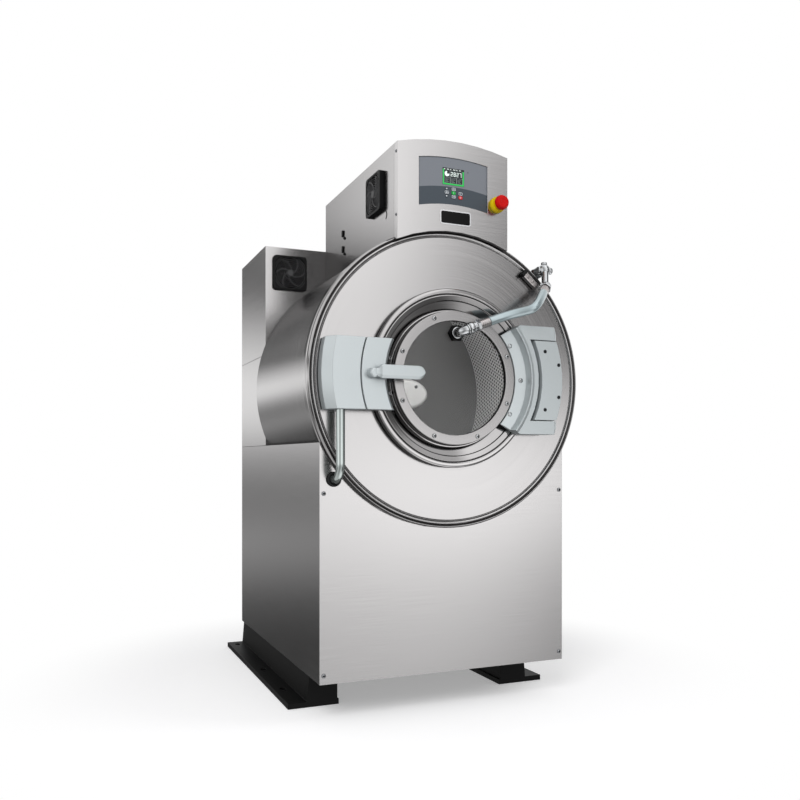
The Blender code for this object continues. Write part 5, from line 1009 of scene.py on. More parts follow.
class WASHER_OT_base(bpy.types.Operator):
    """Finish the base frame with its anchor bolts' slots"""
    bl_idname = "washer.base"
    bl_label = "Base"

    def execute(self, context):
        refined("welded base", "base_frame", "machine", "base", 0.001)
        return {"FINISHED"}


SHEETS = (("panel", ("front_panel", "rear_panel", "rear_housing_lower", "rear_housing_upper")),
          ("side", ("side_panel_left", "side_panel_right")))


class WASHER_OT_cabinet(bpy.types.Operator):
    """Fold the cabinet's sheets and fit their screws"""
    bl_idname = "washer.cabinet"
    bl_label = "Cabinet"

    def execute(self, context):
        sizes = context.scene.washer_sizes
        for key, nodes in SHEETS:
            for node in nodes:
                refined(node.replace("_", " ") + " sheet", node, "machine", key, sizes.panel_edge)
        add_panel_screws(sizes.screw_radius)
        return {"FINISHED"}


FRONT_SCREW_X = 0.388
FRONT_SCREW_HEIGHTS = (0.652, 0.141)
REAR_SCREW_INSET = 0.012
REAR_SCREW_HEIGHTS = (0.15, 0.45, 0.78, 1.13, 1.46)


def add_panel_screws(radius):
    """Screws near both side edges of the front panel and of the rear one."""
    height = radius * 0.5
    front = [(side * FRONT_SCREW_X, PANEL_Y, z) for z in FRONT_SCREW_HEIGHTS for side in (-1, 1)]
    screws("front panel screws", "machine", "screw", radius, height, front)
    reach = HALF_WIDTH - REAR_SCREW_INSET
    back = corners("rear_panel")[1].y
    rear = [(side * reach, back, z) for side in (-1, 1) for z in REAR_SCREW_HEIGHTS]
    screws("rear panel screws", "machine", "screw", radius, height, rear, BACKWARD)


class WASHER_OT_tub(bpy.types.Operator):
    """Roll the tub shell and press its head and rim band"""
    bl_idname = "washer.tub"
    bl_label = "Tub and head"

    def execute(self, context):
        steps = context.scene.washer_sizes.round_steps
        add_shell(steps)
        add_head(steps)
        add_rim(steps)
        add_gasket(steps)
        return {"FINISHED"}


SHELL_SHEET = 0.003
BACK_PLATE = 0.008
SHAFT_HOLE_R = 0.07


def add_shell(steps):
    """Shell with its back plate, its rear corner chamfered, and the shaft's hole."""
    inner = TUB_R - SHELL_SHEET
    chamfer = 0.002
    start = depths("outer_tub")[0]
    profile = [(TUB_R, start), (TUB_R, TUB_BACK - chamfer), (TUB_R - chamfer, TUB_BACK),
               (SHAFT_HOLE_R, TUB_BACK), (SHAFT_HOLE_R, TUB_BACK - BACK_PLATE),
               (inner, TUB_BACK - BACK_PLATE), (inner, start)]
    finished("rolled tub shell", lathe(profile, steps), "machine", "shell", stands_for="outer_tub")


HEAD_SHEET = 0.003
BEAD_INSET = 0.0060
GROOVE_INSET = 0.0125


def add_head(steps):
    """Pressed head: outer bead, flat and the collar that turns in to the doorway."""
    back = behind("front_head")
    crest_front, flat = -HEAD_PROUD, -(HEAD_PROUD - HEAD_SHEET)
    skirt = 0.012
    crest = TUB_R - BEAD_INSET
    groove = TUB_R - GROOVE_INSET
    inner = DOORWAY_R + HEAD_SHEET
    outline = [(TUB_R, skirt), (TUB_R, crest_front + 0.007), (crest + 0.002, crest_front),
               (crest - 0.002, crest_front), (groove, flat + 0.003), (groove - 0.003, flat),
               (DOORWAY_R, flat), (DOORWAY_R, back), (inner, back), (inner, flat + HEAD_SHEET),
               (groove - 0.003, flat + 0.006), (TUB_R - HEAD_SHEET, crest_front + 0.012),
               (TUB_R - HEAD_SHEET, skirt)]
    radii = [0, 0.003, 0.004, 0.004, 0.0008, 0.001, 0.008, 0.001, 0.001, 0.005, 0, 0, 0]
    finished("pressed tub head", lathe(softened(outline, radii, 5), steps), "machine", "head",
             stands_for="front_head")


RIM_GROOVE = 0.0025


def add_rim(steps):
    """Rim band with a rolled front edge and a groove behind it."""
    inner = TUB_R + GAP
    crest = (inner + RIM_R) / 2
    floor = RIM_R - RIM_GROOVE
    outline = [(inner, RIM_BACK), (inner, -RIM_PROUD + 0.007), (crest - 0.001, -RIM_PROUD),
               (crest + 0.001, -RIM_PROUD), (RIM_R, -RIM_PROUD + 0.006), (RIM_R, -0.006), (floor, -0.003),
               (floor, 0.004), (RIM_R, 0.007), (RIM_R, RIM_BACK)]
    radii = [0, 0.002, 0.003, 0.003, 0.003, 0.001, 0.001, 0.001, 0.001, 0.001]
    finished("rolled rim band", lathe(softened(outline, radii, 4), steps), "machine", "door",
             stands_for="rim_band")


def add_gasket(steps):
    """Lip seal between head and door, with a rounded nose."""
    outer = half_width("door_gasket")
    inner = DOORWAY_R + 0.004
    front, back = depths("door_gasket")
    outline = [(inner, back), (outer, back), (outer - 0.005, front), (inner, front)]
    seal = lathe(softened(outline, [0.001, 0.001, 0.004, 0.004], 4), steps)
    finished("lip seal", seal, "machine", "rubber", stands_for="door_gasket")


class WASHER_OT_basket(bpy.types.Operator):
    """Make the perforated basket with its lifters, and dress its drive"""
    bl_idname = "washer.basket"
    bl_label = "Basket and drive"

    def execute(self, context):
        add_basket_wall(context.scene.washer_sizes.round_steps)
        for index in (1, 2, 3):
            add_lifter("lifter_%d" % index)
        add_hub_cover()
        # The spider, like the lifters, takes the basket back's darkened finish: painted shade
        dress("shade-darkened basket", "basket_spider")
        dress("iron", "bearing_housing", "drum_pulley", "motor_pulley")
        dress("steel", "front_bearing", "rear_bearing", "drum_shaft")
        dress("rubber", "drive_belt")
        dress("motor", "motor")
        return {"FINISHED"}


HUB_REACH = 0.190
HUB_WAIST = 0.078
HUB_RISE = 0.020
HUB_SCREW_CIRCLE = 0.141


def add_hub_cover():
    """Domed cover over the spider's bolts, with a rounded lobe and a screw for each arm."""
    arms, steps = 3, 120
    outline = []
    for step in range(steps):
        turn = math.tau * step / steps
        swell = ((1 + math.cos(arms * turn)) / 2) ** 1.6
        reach = HUB_WAIST + (HUB_REACH - HUB_WAIST) * swell
        outline.append((reach * math.cos(turn), reach * math.sin(turn)))
    back = behind("basket_drum") - GAP
    cover = plate(outline, -back, -back + HUB_RISE, 0.018, 5)
    finished("hub cover pressing", cover, "basket", "hub", 60)
    places = []
    for index in range(arms):
        x, z = on_circle(HUB_SCREW_CIRCLE, 360 * (index + 0.09) / arms)
        places.append(at_drum(x, back - 0.0195, z))
    screws("hub cover screws", "basket", "screw", 0.0065, 0.003, places)


BASKET_SHEET = 0.0025


def add_basket_wall(steps):
    """Punched wall with its front lip, which turns in round the doorway."""
    start, end = depths("basket_drum")
    lip = DOORWAY_R + 0.0055
    lip_end = start + 0.012
    inner, inner_lip, inner_start = BASKET_R - BASKET_SHEET, lip + BASKET_SHEET, start + BASKET_SHEET
    outline = [(BASKET_R, end), (BASKET_R, start), (lip, start), (lip, lip_end), (inner_lip, lip_end),
               (inner_lip, inner_start), (inner, inner_start), (inner, end)]
    radii = [0, 0.008, 0.004, 0, 0, 0.003, 0.006, 0]
    finished("punched basket wall", lathe(softened(outline, radii, 4), steps), "basket", "basket",
             stands_for="basket_drum")


LIFTER_FOOT_R = BASKET_R - 0.004
LIFTER_CREST = 0.0825
# The left flank of a lifter's section: distance from its middle line, and height over its foot
LIFTER_SIDE = ((-0.058, 0.006), (-0.052, 0.012), (-0.030, 0.040))


def add_lifter(node):
    """Pressed lifter with a round crown, a row of rivets and a screw at its front end."""
    x, z = middle(node)
    outward = Vector((x, 0, z - DRUM_Z)).normalized()
    across = Vector((outward.z, 0, -outward.x))
    start, end = depths(node)
    foot = LIFTER_FOOT_R
    crown = [(0.023 * math.cos(math.radians(a)), 0.062 + 0.021 * math.sin(math.radians(a)))
             for a in range(165, 14, -15)]
    section = list(LIFTER_SIDE) + crown + [(-side, rise) for side, rise in reversed(LIFTER_SIDE)]
    bm = bmesh.new()
    rings = []
    for depth, grow in ((start, 0.86), (start + 0.004, 0.95), (start + 0.012, 1.0), (end, 1.0)):
        ring = []
        for side, rise in section:
            place = outward * (foot - rise * grow) + across * side * grow
            ring.append(bm.verts.new(at_drum(place.x, depth, place.z)))
        rings.append(ring)
    skin(bm, rings)
    name = node.replace("_", " ")
    # Its finish is the basket back's stainless, darkened as painted shade
    finished(name + " pressing", bm, "basket", "shade-darkened basket", 50, node)
    face = outward * (foot - 0.045)
    screws(name + " screw", "basket", "screw", 0.008, 0.003, [at_drum(face.x, start, face.z)])
    crest = outward * (foot - LIFTER_CREST)
    rows = [at_drum(crest.x, start + depth, crest.z) for depth in (0.09, 0.21, 0.33, 0.45)]
    screws(name + " rivets", "basket", "hub", 0.006, 0.0022, rows, -outward)


class WASHER_OT_door(bpy.types.Operator):
    """Spin the door pan and fit glass, clamp ring and bolts"""
    bl_idname = "washer.door"
    bl_label = "Door"

    def execute(self, context):
        steps = context.scene.washer_sizes.round_steps
        add_pan(steps)
        add_glass(steps)
        add_clamp_ring(steps)
        return {"FINISHED"}


CLEAR_R = CLAMP_R - 0.0287
PAN_SHEET = 0.003
BOLT_CIRCLE = 0.1841


def add_pan(steps):
    """Rolled bead, stepped slope and the flange under the glass."""
    back = behind("door_pan")
    front = -DOOR_PROUD
    seat = -(GLASS_BACK + GAP)
    channel = back - 0.0017
    outline = [
        (DOOR_R, back), (DOOR_R, front), (DOOR_R - 0.0150, front), (DOOR_R - 0.0172, front + 0.006),
        (DOOR_R - 0.0190, front + 0.0012), (DOOR_R - 0.0340, front + 0.0062),
        (DOOR_R - 0.0355, front + 0.0105),
        (CLAMP_R + 0.0060, channel), (CLAMP_R + 0.0030, channel), (CLAMP_R + 0.0008, channel - 0.004),
        (CLAMP_R - 0.0005, seat - 0.002), (GLASS_R + 0.003, seat - 0.002), (GLASS_R + 0.003, seat),
        (CLEAR_R, seat), (CLEAR_R, seat + PAN_SHEET), (CLAMP_R - 0.004, seat + PAN_SHEET),
        (CLAMP_R + 0.004, back), (DOOR_R - 0.046, back), (DOOR_R - 0.019, front + 0.010),
        (DOOR_R - PAN_SHEET, front + 0.010), (DOOR_R - PAN_SHEET, back)]
    radii = [0.001, 0.009, 0.006, 0.0005, 0.003, 0.003, 0.002, 0.002, 0.002, 0.002, 0, 0, 0, 0, 0, 0, 0.001,
             0.003, 0.004, 0.004, 0]
    pan = lathe(softened(outline, radii, 6), steps)
    finished("spun door pan", pan, "door", "door", stands_for="door_pan")


def add_glass(steps):
    outline = [(0, -GLASS_BACK), (GLASS_R, -GLASS_BACK), (GLASS_R, -GLASS_PROUD), (0, -GLASS_PROUD)]
    disc = lathe(softened(outline, [0, 0.001, 0.001, 0], 2), steps)
    finished("door glass disc", disc, "door", "glass", stands_for="door_glass")


def add_clamp_ring(steps):
    """Ring that holds the glass in the pan, with its eight screws."""
    back = GLASS_PROUD + GAP
    outline = [(CLEAR_R, -back), (CLAMP_R, -back), (CLAMP_R, -CLAMP_PROUD), (CLEAR_R, -CLAMP_PROUD)]
    ring = lathe(softened(outline, [0.0005, 0.0005, 0.002, 0.002], 3), steps)
    finished("turned clamp ring", ring, "door", "ring", stands_for="door_clamp_ring")
    places = []
    for index in range(8):
        x, z = on_circle(BOLT_CIRCLE, 22.5 + 45 * index)
        places.append(at_drum(x, -CLAMP_PROUD, z))
    screws("clamp ring screws", "door", "chrome", 0.0066, 0.0040, places)


class WASHER_OT_latch(bpy.types.Operator):
    """Cast the latch cover, its handle and the lock housing"""
    bl_idname = "washer.latch"
    bl_label = "Latch"

    def execute(self, context):
        edge = context.scene.washer_sizes.casting_edge
        add_lock_housing(edge)
        add_latch_cover(edge)
        add_handle()
        add_cover_bolts()
        dress("steel", "latch_cam")
        return {"FINISHED"}


SEAM_R = DOOR_R + 0.044
HALF_SEAM = 0.0015


def add_lock_housing(edge):
    """Fixed half of the latch: its seam and its sloping outer side both follow the door's round."""
    inner, outer = SEAM_R + HALF_SEAM, -corners("lock_housing")[0].x
    front, back = depths("lock_housing")
    profile = [(inner, back), (inner, front), (outer - 0.022, front), (outer, front + 0.030), (outer, back)]
    housing = arc_casting(profile, "lock_housing", edge * 0.5)
    finished("lock housing casting", housing, "machine", "casting", 50, "lock_housing")


def add_latch_cover(edge):
    """Half of the latch on the door, with a sloping inner side."""
    inner, outer = DOOR_R - 0.038, SEAM_R - HALF_SEAM
    front, back = depths("latch_cover")
    profile = [(inner, back), (inner, front + 0.018), (inner + 0.011, front), (outer, front), (outer, back)]
    cover = arc_casting(profile, "latch_cover", edge * 0.5)
    finished("latch cover casting", cover, "door", "casting", 50, "latch_cover")


COVER_BOLT_PLACE = (-0.2045, 0.050)


def add_cover_bolts():
    """Two cap screws that hold the cover to the pan, in the gap beside the clamp ring."""
    x, z = COVER_BOLT_PLACE
    seat = -GLASS_BACK + 0.004
    places = [at_drum(x, seat, side * z) for side in (-1, 1)]
    screws("latch cover bolts", "door", "chrome", 0.0064, 0.012, places)


def lever(stations, back, slope):
    """A bar along X through (x, lowest z, highest z, front) stations, with a long chamfer below."""
    bm = bmesh.new()
    rings = []
    for x, bottom, top, front in stations:
        share = min(slope, (top - bottom) * 0.34)
        outline = [(-back, bottom), (-front + share * 0.8, bottom), (-front, bottom + share), (-front, top),
                   (-back, top)]
        soft = softened(outline, [0.0015, 0.0022, 0.0018, 0.0035, 0.0015], 3)
        rings.append([bm.verts.new(at_drum(x, y, z)) for y, z in soft])
    skin(bm, rings)
    return bm


HANDLE_DEEP = 0.0155
BOSS_R = 0.0158
GRIP_MIDDLE = 0.0038
GRIP_HALF = 0.0190


def add_handle():
    """Cast lever: a round boss, a narrower neck and a deep grip with a round end."""
    low, high = corners("door_handle")
    pivot, tip = low.x + BOSS_R, high.x
    front = ahead("door_handle")
    back = front - HANDLE_DEEP
    bottom, top = GRIP_MIDDLE - GRIP_HALF, GRIP_MIDDLE + GRIP_HALF
    grip = [(pivot + 0.003, -0.0105, 0.0115, front - 0.0045),
            (pivot + 0.0130, -0.0110, 0.0135, front - 0.0040),
            (pivot + 0.0180, -0.0135, 0.0205, front - 0.0010),
            (pivot + 0.0215, bottom, top, front), (pivot + 0.080, bottom, top, front)]
    for angle in (0, 20, 40, 55, 68, 78):
        turn = math.radians(angle)
        rise = GRIP_HALF * math.cos(turn)
        x = tip - GRIP_HALF + GRIP_HALF * math.sin(turn)
        grip.append((x, GRIP_MIDDLE - rise, GRIP_MIDDLE + rise, front))
    foot, crown = -COVER_PROUD - GAP, -front + 0.0055
    boss = [(0, foot), (0.0150, foot), (0.0130, -back - 0.001), (0.0135, -back - 0.004),
            (0.0130, -front + 0.0080), (0.0100, crown), (0, crown)]
    turned_boss = lathe(softened(boss, [0, 0.001, 0.002, 0.002, 0.003, 0.002, 0], 3), 40, at_drum(pivot))
    handle = joined(lever(grip, back, 0.0070), turned_boss)
    finished("cast lever handle", handle, "door_handle", "casting", 50, "door_handle")


class WASHER_OT_hinge(bpy.types.Operator):
    """Cast the hinge arm and block and fit pin and bolts"""
    bl_idname = "washer.hinge"
    bl_label = "Hinge"

    def execute(self, context):
        refined("hinge arm casting", "hinge_arm", "door", "casting", 0.0012, 3, 25)
        refined("hinge block casting", "hinge_block", "machine", "casting", 0.0012, 3, 25)
        dress("steel", "hinge_pin")
        add_hinge_screws()
        return {"FINISHED"}


# Places of the hinge's screws from the drum axis
BLOCK_SCREWS = ((0.285, 0.088), (0.3335, 0.049))
ARM_BOLTS = ((0.180, -0.0515, 0.103), (0.180, -0.0515, -0.103), (0.2160, -0.0545, 0.0))


def add_hinge_screws():
    """Dark socket screws in the block's recess, bright ones on the arm's slope."""
    block = ahead("hinge_block")
    screws("hinge block screws", "machine", "dark screw", 0.0056, 0.0020,
           [at_drum(x, -block, side * z) for x, z in BLOCK_SCREWS for side in (-1, 1)])
    screws("hinge arm bolts", "door", "chrome", 0.0078, 0.0050, [at_drum(*place) for place in ARM_BOLTS])


class WASHER_OT_lines(bpy.types.Operator):
    """Run the lock's conduit and the spray line"""
    bl_idname = "washer.lines"
    bl_label = "Conduit and spray line"

    def execute(self, context):
        add_hose()
        add_spray_elbow()
        add_supply_line()
        add_spray_bracket()
        add_conduit()
        return {"FINISHED"}


# The spray line's route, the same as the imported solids', from the drum axis
SPRAY_CORNER = Vector((0, -0.092, 0.13105))
HEADING_X, HEADING_Z = on_circle(1, 21)
SPRAY_HEADING = Vector((HEADING_X, 0, HEADING_Z))
SUPPLY_RISE = math.radians(35.3)
SUPPLY_TURN = math.radians(45)
SUPPLY_HEADING = Vector((math.cos(SUPPLY_RISE) * math.cos(SUPPLY_TURN), math.sin(SUPPLY_RISE),
                         math.cos(SUPPLY_RISE) * math.sin(SUPPLY_TURN)))
HOSE_START = SPRAY_CORNER + SPRAY_HEADING * 0.0943
END_X, END_Z = on_circle(0.383, 43.6)
HOSE_END = Vector((END_X, -0.083, END_Z))
RUN_X, RUN_Z = on_circle(0.4652, 47.9)
SUPPLY_RUN = Vector((RUN_X, 0, RUN_Z))
HOSE_R = 0.0135
HOSE_PROUD = 0.140


def hose_route():
    """Points of the hose from the drum axis: straight out of both ends, with its crest in front."""
    first = HOSE_START + SPRAY_HEADING * 0.006
    last = HOSE_END - SUPPLY_HEADING * 0.006
    crest = 2 / 3
    reach = 3 * crest ** 2 - 2 * crest ** 3
    between = first.y * (1 - reach) + last.y * reach
    pull = (HOSE_PROUD - HOSE_R + between) / (crest ** 2 - crest ** 3)
    arriving = SUPPLY_HEADING * (pull / SUPPLY_HEADING.y)
    leaving = SPRAY_HEADING * arriving.length
    points = []
    for step in range(25):
        t = step / 24
        points.append(first * (2 * t ** 3 - 3 * t ** 2 + 1) + leaving * (t ** 3 - 2 * t ** 2 + t)
                      + last * (3 * t ** 2 - 2 * t ** 3) + arriving * (t ** 3 - t ** 2))
    return [HOSE_START] + points + [HOSE_END]


def add_hose():
    """Hose between the door's elbow and the fixed pipe."""
    route = [at_drum(*point) for point in hose_route()]
    made = finished("spray hose tube", swept(route, HOSE_R, 28), None, "hose", stands_for="spray_hose")
    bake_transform(made)


def on_spray(along):
    """The place that far along the spray elbow's outlet."""
    return at_drum(*(SPRAY_CORNER + SPRAY_HEADING * along))


SPRAY_NUT_HIGH = 0.0100
# Collars on the elbow's outlet: how far along it, radius and width
SPRAY_COLLARS = ((0.016, 0.0165, 0.005), (0.022, 0.0175, 0.014), (0.038, 0.0150, 0.006))


def add_spray_elbow():
    """Nut on the glass, elbow with its collars and the crimped sleeve on the hose's end."""
    z = SPRAY_CORNER.z
    face = -GLASS_PROUD - GAP
    black = hexagon_nut(0.0262, SPRAY_NUT_HIGH, at_drum(0, face, z), FORWARD)
    nozzle = swept([at_drum(0, 0.008 - GLASS_BACK, z), at_drum(0, -GLASS_BACK + 0.0005, z)], 0.0125, 24)
    finished("spray nut", joined(black, nozzle), "door", "gloss black", 30, "spray_fitting")
    nut_front = Vector((0, face - SPRAY_NUT_HIGH, z))
    pieces = [collar(0.0172, 0.0065, at_drum(*nut_front), FORWARD)]
    route = bent_path([nut_front, SPRAY_CORNER, SPRAY_CORNER + SPRAY_HEADING * 0.052], 0.018, 12)
    pieces.append(swept([at_drum(*point) for point in route], 0.0134, 32))
    for along, radius, width in SPRAY_COLLARS:
        pieces.append(collar(radius, width, on_spray(along), SPRAY_HEADING))
    pieces.append(hexagon_nut(0.0170, 0.0125, on_spray(0.048), SPRAY_HEADING))
    finished("spray elbow", joined(*pieces), "door", "chrome", 35)
    sleeve = ribbed_sleeve(0.0128, 0.0336, on_spray(0.0605), SPRAY_HEADING)
    finished("spray hose sleeve", sleeve, "door", "sleeve", 35)


HEART_R = 0.0196
HEART_COLLAR_WIDE = 0.0120
# Collars round the fixed elbow: way, radius and how far their faces stand from its heart
HEART_COLLARS = (((0, 0, 1), 0.0095, 0.0255), ((1, 0, 0), 0.0110, 0.0260), ((-1, 0, 0), 0.0110, 0.0245))


def add_supply_line():
    """Sleeve, union and elbow of the fixed side, and the pipe back to the drive box."""
    start = HOSE_END + SUPPLY_HEADING * 0.0006
    neck = start + SUPPLY_HEADING * 0.036
    end = behind("control_box") + 0.010
    corner = Vector((SUPPLY_RUN.x, -0.040, SUPPLY_RUN.z))
    route = bent_path([neck, corner, Vector((corner.x, end, corner.z))], 0.020, 12)
    pipe = swept([at_drum(*point) for point in route], 0.0110, 32)
    finished("supply pipe", pipe, "machine", "chrome", 35, "spray_supply_pipe")
    pieces = [hexagon_nut(0.0188, 0.0130, at_drum(*(neck - SUPPLY_HEADING * 0.004)), SUPPLY_HEADING),
              collar(0.0158, 0.0070, at_drum(*(neck + SUPPLY_HEADING * 0.009)), SUPPLY_HEADING)]
    heart = Vector((corner.x, corner.y + 0.006, corner.z))
    pieces.append(lathe(arc(HEART_R, -90, 90, 14), 32, at_drum(*heart)))
    for way, radius, reach in HEART_COLLARS:
        place = heart + Vector(way) * (reach - HEART_COLLAR_WIDE)
        pieces.append(collar(radius, HEART_COLLAR_WIDE, at_drum(*place), way))
    nuts = ((0.0, HEART_R, 0.015), (0.022, 0.0150, 0.006), (end - 0.030, 0.0165, 0.013))
    for depth, radius, width in nuts:
        pieces.append(hexagon_nut(radius, width, at_drum(corner.x, depth, corner.z), BACKWARD))
    finished("supply fittings", joined(*pieces), "machine", "chrome", 35)
    sleeve = ribbed_sleeve(0.0132, 0.0320, at_drum(*start), SUPPLY_HEADING)
    finished("supply hose sleeve", sleeve, "machine", "sleeve", 35)


BRACKET_R = 0.408
BRACKET_ANGLE = 49.7
BRACKET_DEEP = 0.016


def add_spray_bracket():
    """Bar that carries the fixed elbow, with its screws and the black clip on its end."""
    x, z = on_circle(BRACKET_R, BRACKET_ANGLE)
    slant = math.pi / 2 - math.radians(BRACKET_ANGLE)
    turn = Matrix.Translation(at_drum(x, -HEAD_PROUD - GAP, z)) @ Matrix.Rotation(slant, 4, "Y")
    bar_body = box((-0.030, -BRACKET_DEEP, -0.009), (0.030, 0.0, 0.009), 0.0020)
    clip = box((-0.036, -0.020, -0.0105), (-0.025, -0.001, 0.0105), 0.0020)
    for body in (bar_body, clip):
        bmesh.ops.transform(body, matrix=turn, verts=body.verts)
    heads = [button_screw(0.0045, 0.0024, turn @ Vector((along, -BRACKET_DEEP, 0)))
             for along in (-0.014, 0.006)]
    finished("bracket bar", joined(bar_body, *heads), "machine", "sleeve", 35, "spray_bracket")
    finished("bracket clip", clip, "machine", "black", 35)


CONDUIT_BEND = 0.045


def add_conduit():
    """Lacquered tube from the lock housing into the panel, and the ring it passes through."""
    low, high = corners("lock_conduit")
    x = middle("lock_conduit")[0]
    radius = half_width("lock_conduit")
    front, bottom = low.y + radius, low.z + radius
    path = bent_path([(x, front, high.z), (x, front, bottom), (x, high.y, bottom)], CONDUIT_BEND, 14)
    finished("lock conduit tube", swept(path, radius, 32), "machine", "conduit", stands_for="lock_conduit")
    ring = lathe(arc(0.0042, 0, 345, 23, (0.0172, 0.0)), 48, Vector((x, PANEL_Y - 0.0047, bottom)))
    finished("conduit grommet ring", ring, "machine", "rubber", stands_for="conduit_grommet")


KEYS = ("key_up", "key_ok", "key_down", "key_menu", "key_start", "key_back", "key_info", "key_stop")
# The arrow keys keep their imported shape, the others get a cap of their colour
PLAIN_KEYS = ("key_up", "key_down")
CAP_COLOURS = {"key_ok": "grey key", "key_menu": "grey key", "key_back": "grey key", "key_info": "grey key",
               "key_start": "green key", "key_stop": "red key"}


class WASHER_OT_controls(bpy.types.Operator):
    """Fold the control box and fit keypad, display and stop button"""
    bl_idname = "washer.controls"
    bl_label = "Control box"

    def execute(self, context):
        sizes = context.scene.washer_sizes
        refined("control box sheet", "control_box", "machine", "side", sizes.panel_edge)
        refined("control cover sheet", "control_front", "machine", "panel", sizes.panel_edge)
        dress("overlay", "keypad_overlay")
        dress("lens", "display_window")
        dress("grey key", *PLAIN_KEYS)
        for node, key in CAP_COLOURS.items():
            add_key_cap(node, key)
        add_key_symbols()
        add_display()
        add_name_place()
        add_box_fittings()
        add_stop_button()
        return {"FINISHED"}


PRINT_THICK = 0.0002
LAYER = 0.0001


def flat_mark(outline, front, thick=PRINT_THICK):
    """A thin printed shape of an (x, z) outline on a face at that distance before the panel."""
    return plate(outline, front, front + thick)


def bar(x0, z0, x1, z1):
    return [(x0, z0), (x1, z0), (x1, z1), (x0, z1)]


def frame_mark(x, z, half_wide, half_high, line, front):
    """A printed rounded frame."""
    outer, inner = (rounded_rectangle(half_wide - inset, half_high - inset) for inset in (0.0, line))
    return facing(ring_plate(outer, inner, 0.0, PRINT_THICK), at_drum(x, -front, z), FORWARD)


KEY_HALF = (0.0066, 0.0049)
CAP_THICK = 0.0008


def add_key_cap(node, key):
    """A rounded cap over the key's stem, proud of the film."""
    x, z = middle(node)
    z = z - DRUM_Z
    front = ahead(node)
    outline = [(x + place_x, z + place_z) for place_x, place_z in rounded_rectangle(*KEY_HALF)]
    cap = plate(outline, front - CAP_THICK, front, 0.0003, 2)
    stem = plate(bar(x - 0.004, z - 0.003, x + 0.004, z + 0.003), front - 0.004, front - CAP_THICK)
    finished(node + "_cap", joined(cap, stem), node, key, stands_for=node)


def rounded_rectangle(half_wide, half_high):
    """A soft rectangle outline about the origin."""
    steps, softness = 32, 0.6
    points = []
    for step in range(steps):
        turn = math.tau * (step + 0.5) / steps
        x, z = math.cos(turn), math.sin(turn)
        points.append((half_wide * math.copysign(abs(x) ** softness, x),
                       half_high * math.copysign(abs(z) ** softness, z)))
    return points


# Bars of the symbols from the middle of a key: left, lower, right and upper side
KEY_BARS = {
    "key_ok": ((-0.0022, -0.0014, 0.0022, 0.0014),),
    "key_menu": ((-0.0026, -0.0019, 0.0026, -0.0012), (-0.0026, -0.0004, 0.0026, 0.0003),
                 (-0.0026, 0.0011, 0.0026, 0.0018)),
    "key_start": ((-0.0005, -0.0022, 0.0005, 0.0022),),
    "key_info": ((-0.0005, -0.0022, 0.0005, 0.0008), (-0.0006, 0.0014, 0.0006, 0.0024)),
}
# Corners of the arrows, from the middle of a key
KEY_ARROWS = {
    "key_up": ((-0.0026, -0.0018), (0.0026, -0.0018), (0.0, 0.0024)),
    "key_down": ((0.0, -0.0024), (0.0026, 0.0018), (-0.0026, 0.0018)),
    "key_back": ((0.0022, -0.0020), (0.0022, 0.0020), (-0.0024, 0.0)),
}
# Frames round the symbols: half width, half height and line
KEY_FRAMES = {"key_stop": (0.0024, 0.0024, 0.0007)}
KEY_FRAMES.update(dict.fromkeys(("key_ok", "key_menu", "key_back", "key_info"), (0.0063, 0.0046, 0.0009)))


def add_key_symbols():
    """White printed frames and plain symbols on the keys: arrows, bars and rings."""
    for node in KEYS:
        x, z = middle(node)
        z = z - DRUM_Z
        front = ahead(node)
        marks = []
        if node in KEY_FRAMES:
            marks.append(frame_mark(x, z, *KEY_FRAMES[node], front))
        if node in KEY_ARROWS:
            marks.append(flat_mark([(x + side, z + rise) for side, rise in KEY_ARROWS[node]], front))
        for left, lower, right, upper in KEY_BARS.get(node, ()):
            marks.append(flat_mark(bar(x + left, z + lower, x + right, z + upper), front))
        finished(node + "_symbol", joined(*marks), node, "print")


DIGITS = {2: "abged", 7: "abc", 8: "abcdefg"}


def digit(value, x, z, wide, high, front):
    """A seven-segment digit with its lower left corner at (x, z)."""
    line = wide * 0.24
    right, top = x + wide, z + high
    waist = z + (high - line) / 2
    spans = {"a": (x, top - line, right, top), "b": (right - line, waist, right, top),
             "c": (right - line, z, right, waist + line), "d": (x, z, right, z + line),
             "e": (x, z, x + line, waist + line), "f": (x, waist, x + line, top),
             "g": (x, waist, right, waist + line)}
    return [flat_mark(bar(*spans[name]), front) for name in DIGITS[value]]


# Sizes of the display's fields
FRAME_WIDE = 0.0042
FIELD_INSET = 0.0006
UPPER_BOX_WIDE = 0.0180
LOWER_BOX_WIDE = 0.0187
LOWER_BOX_PITCH = 0.0203
PIE_R = 0.0078
DIGIT_SIZE = (0.0064, 0.0122)
DIGIT_PITCH = 0.0095
STATUS_WIDTHS = (0.004, 0.0062, 0.0035, 0.0078, 0.0045, 0.0062)
STATUS_PITCH = 0.0098
# Lines in each lower box: height over its foot and length
FAINT_LINES = ((0.0030, 0.0120), (0.0065, 0.0090), (0.0100, 0.0130))


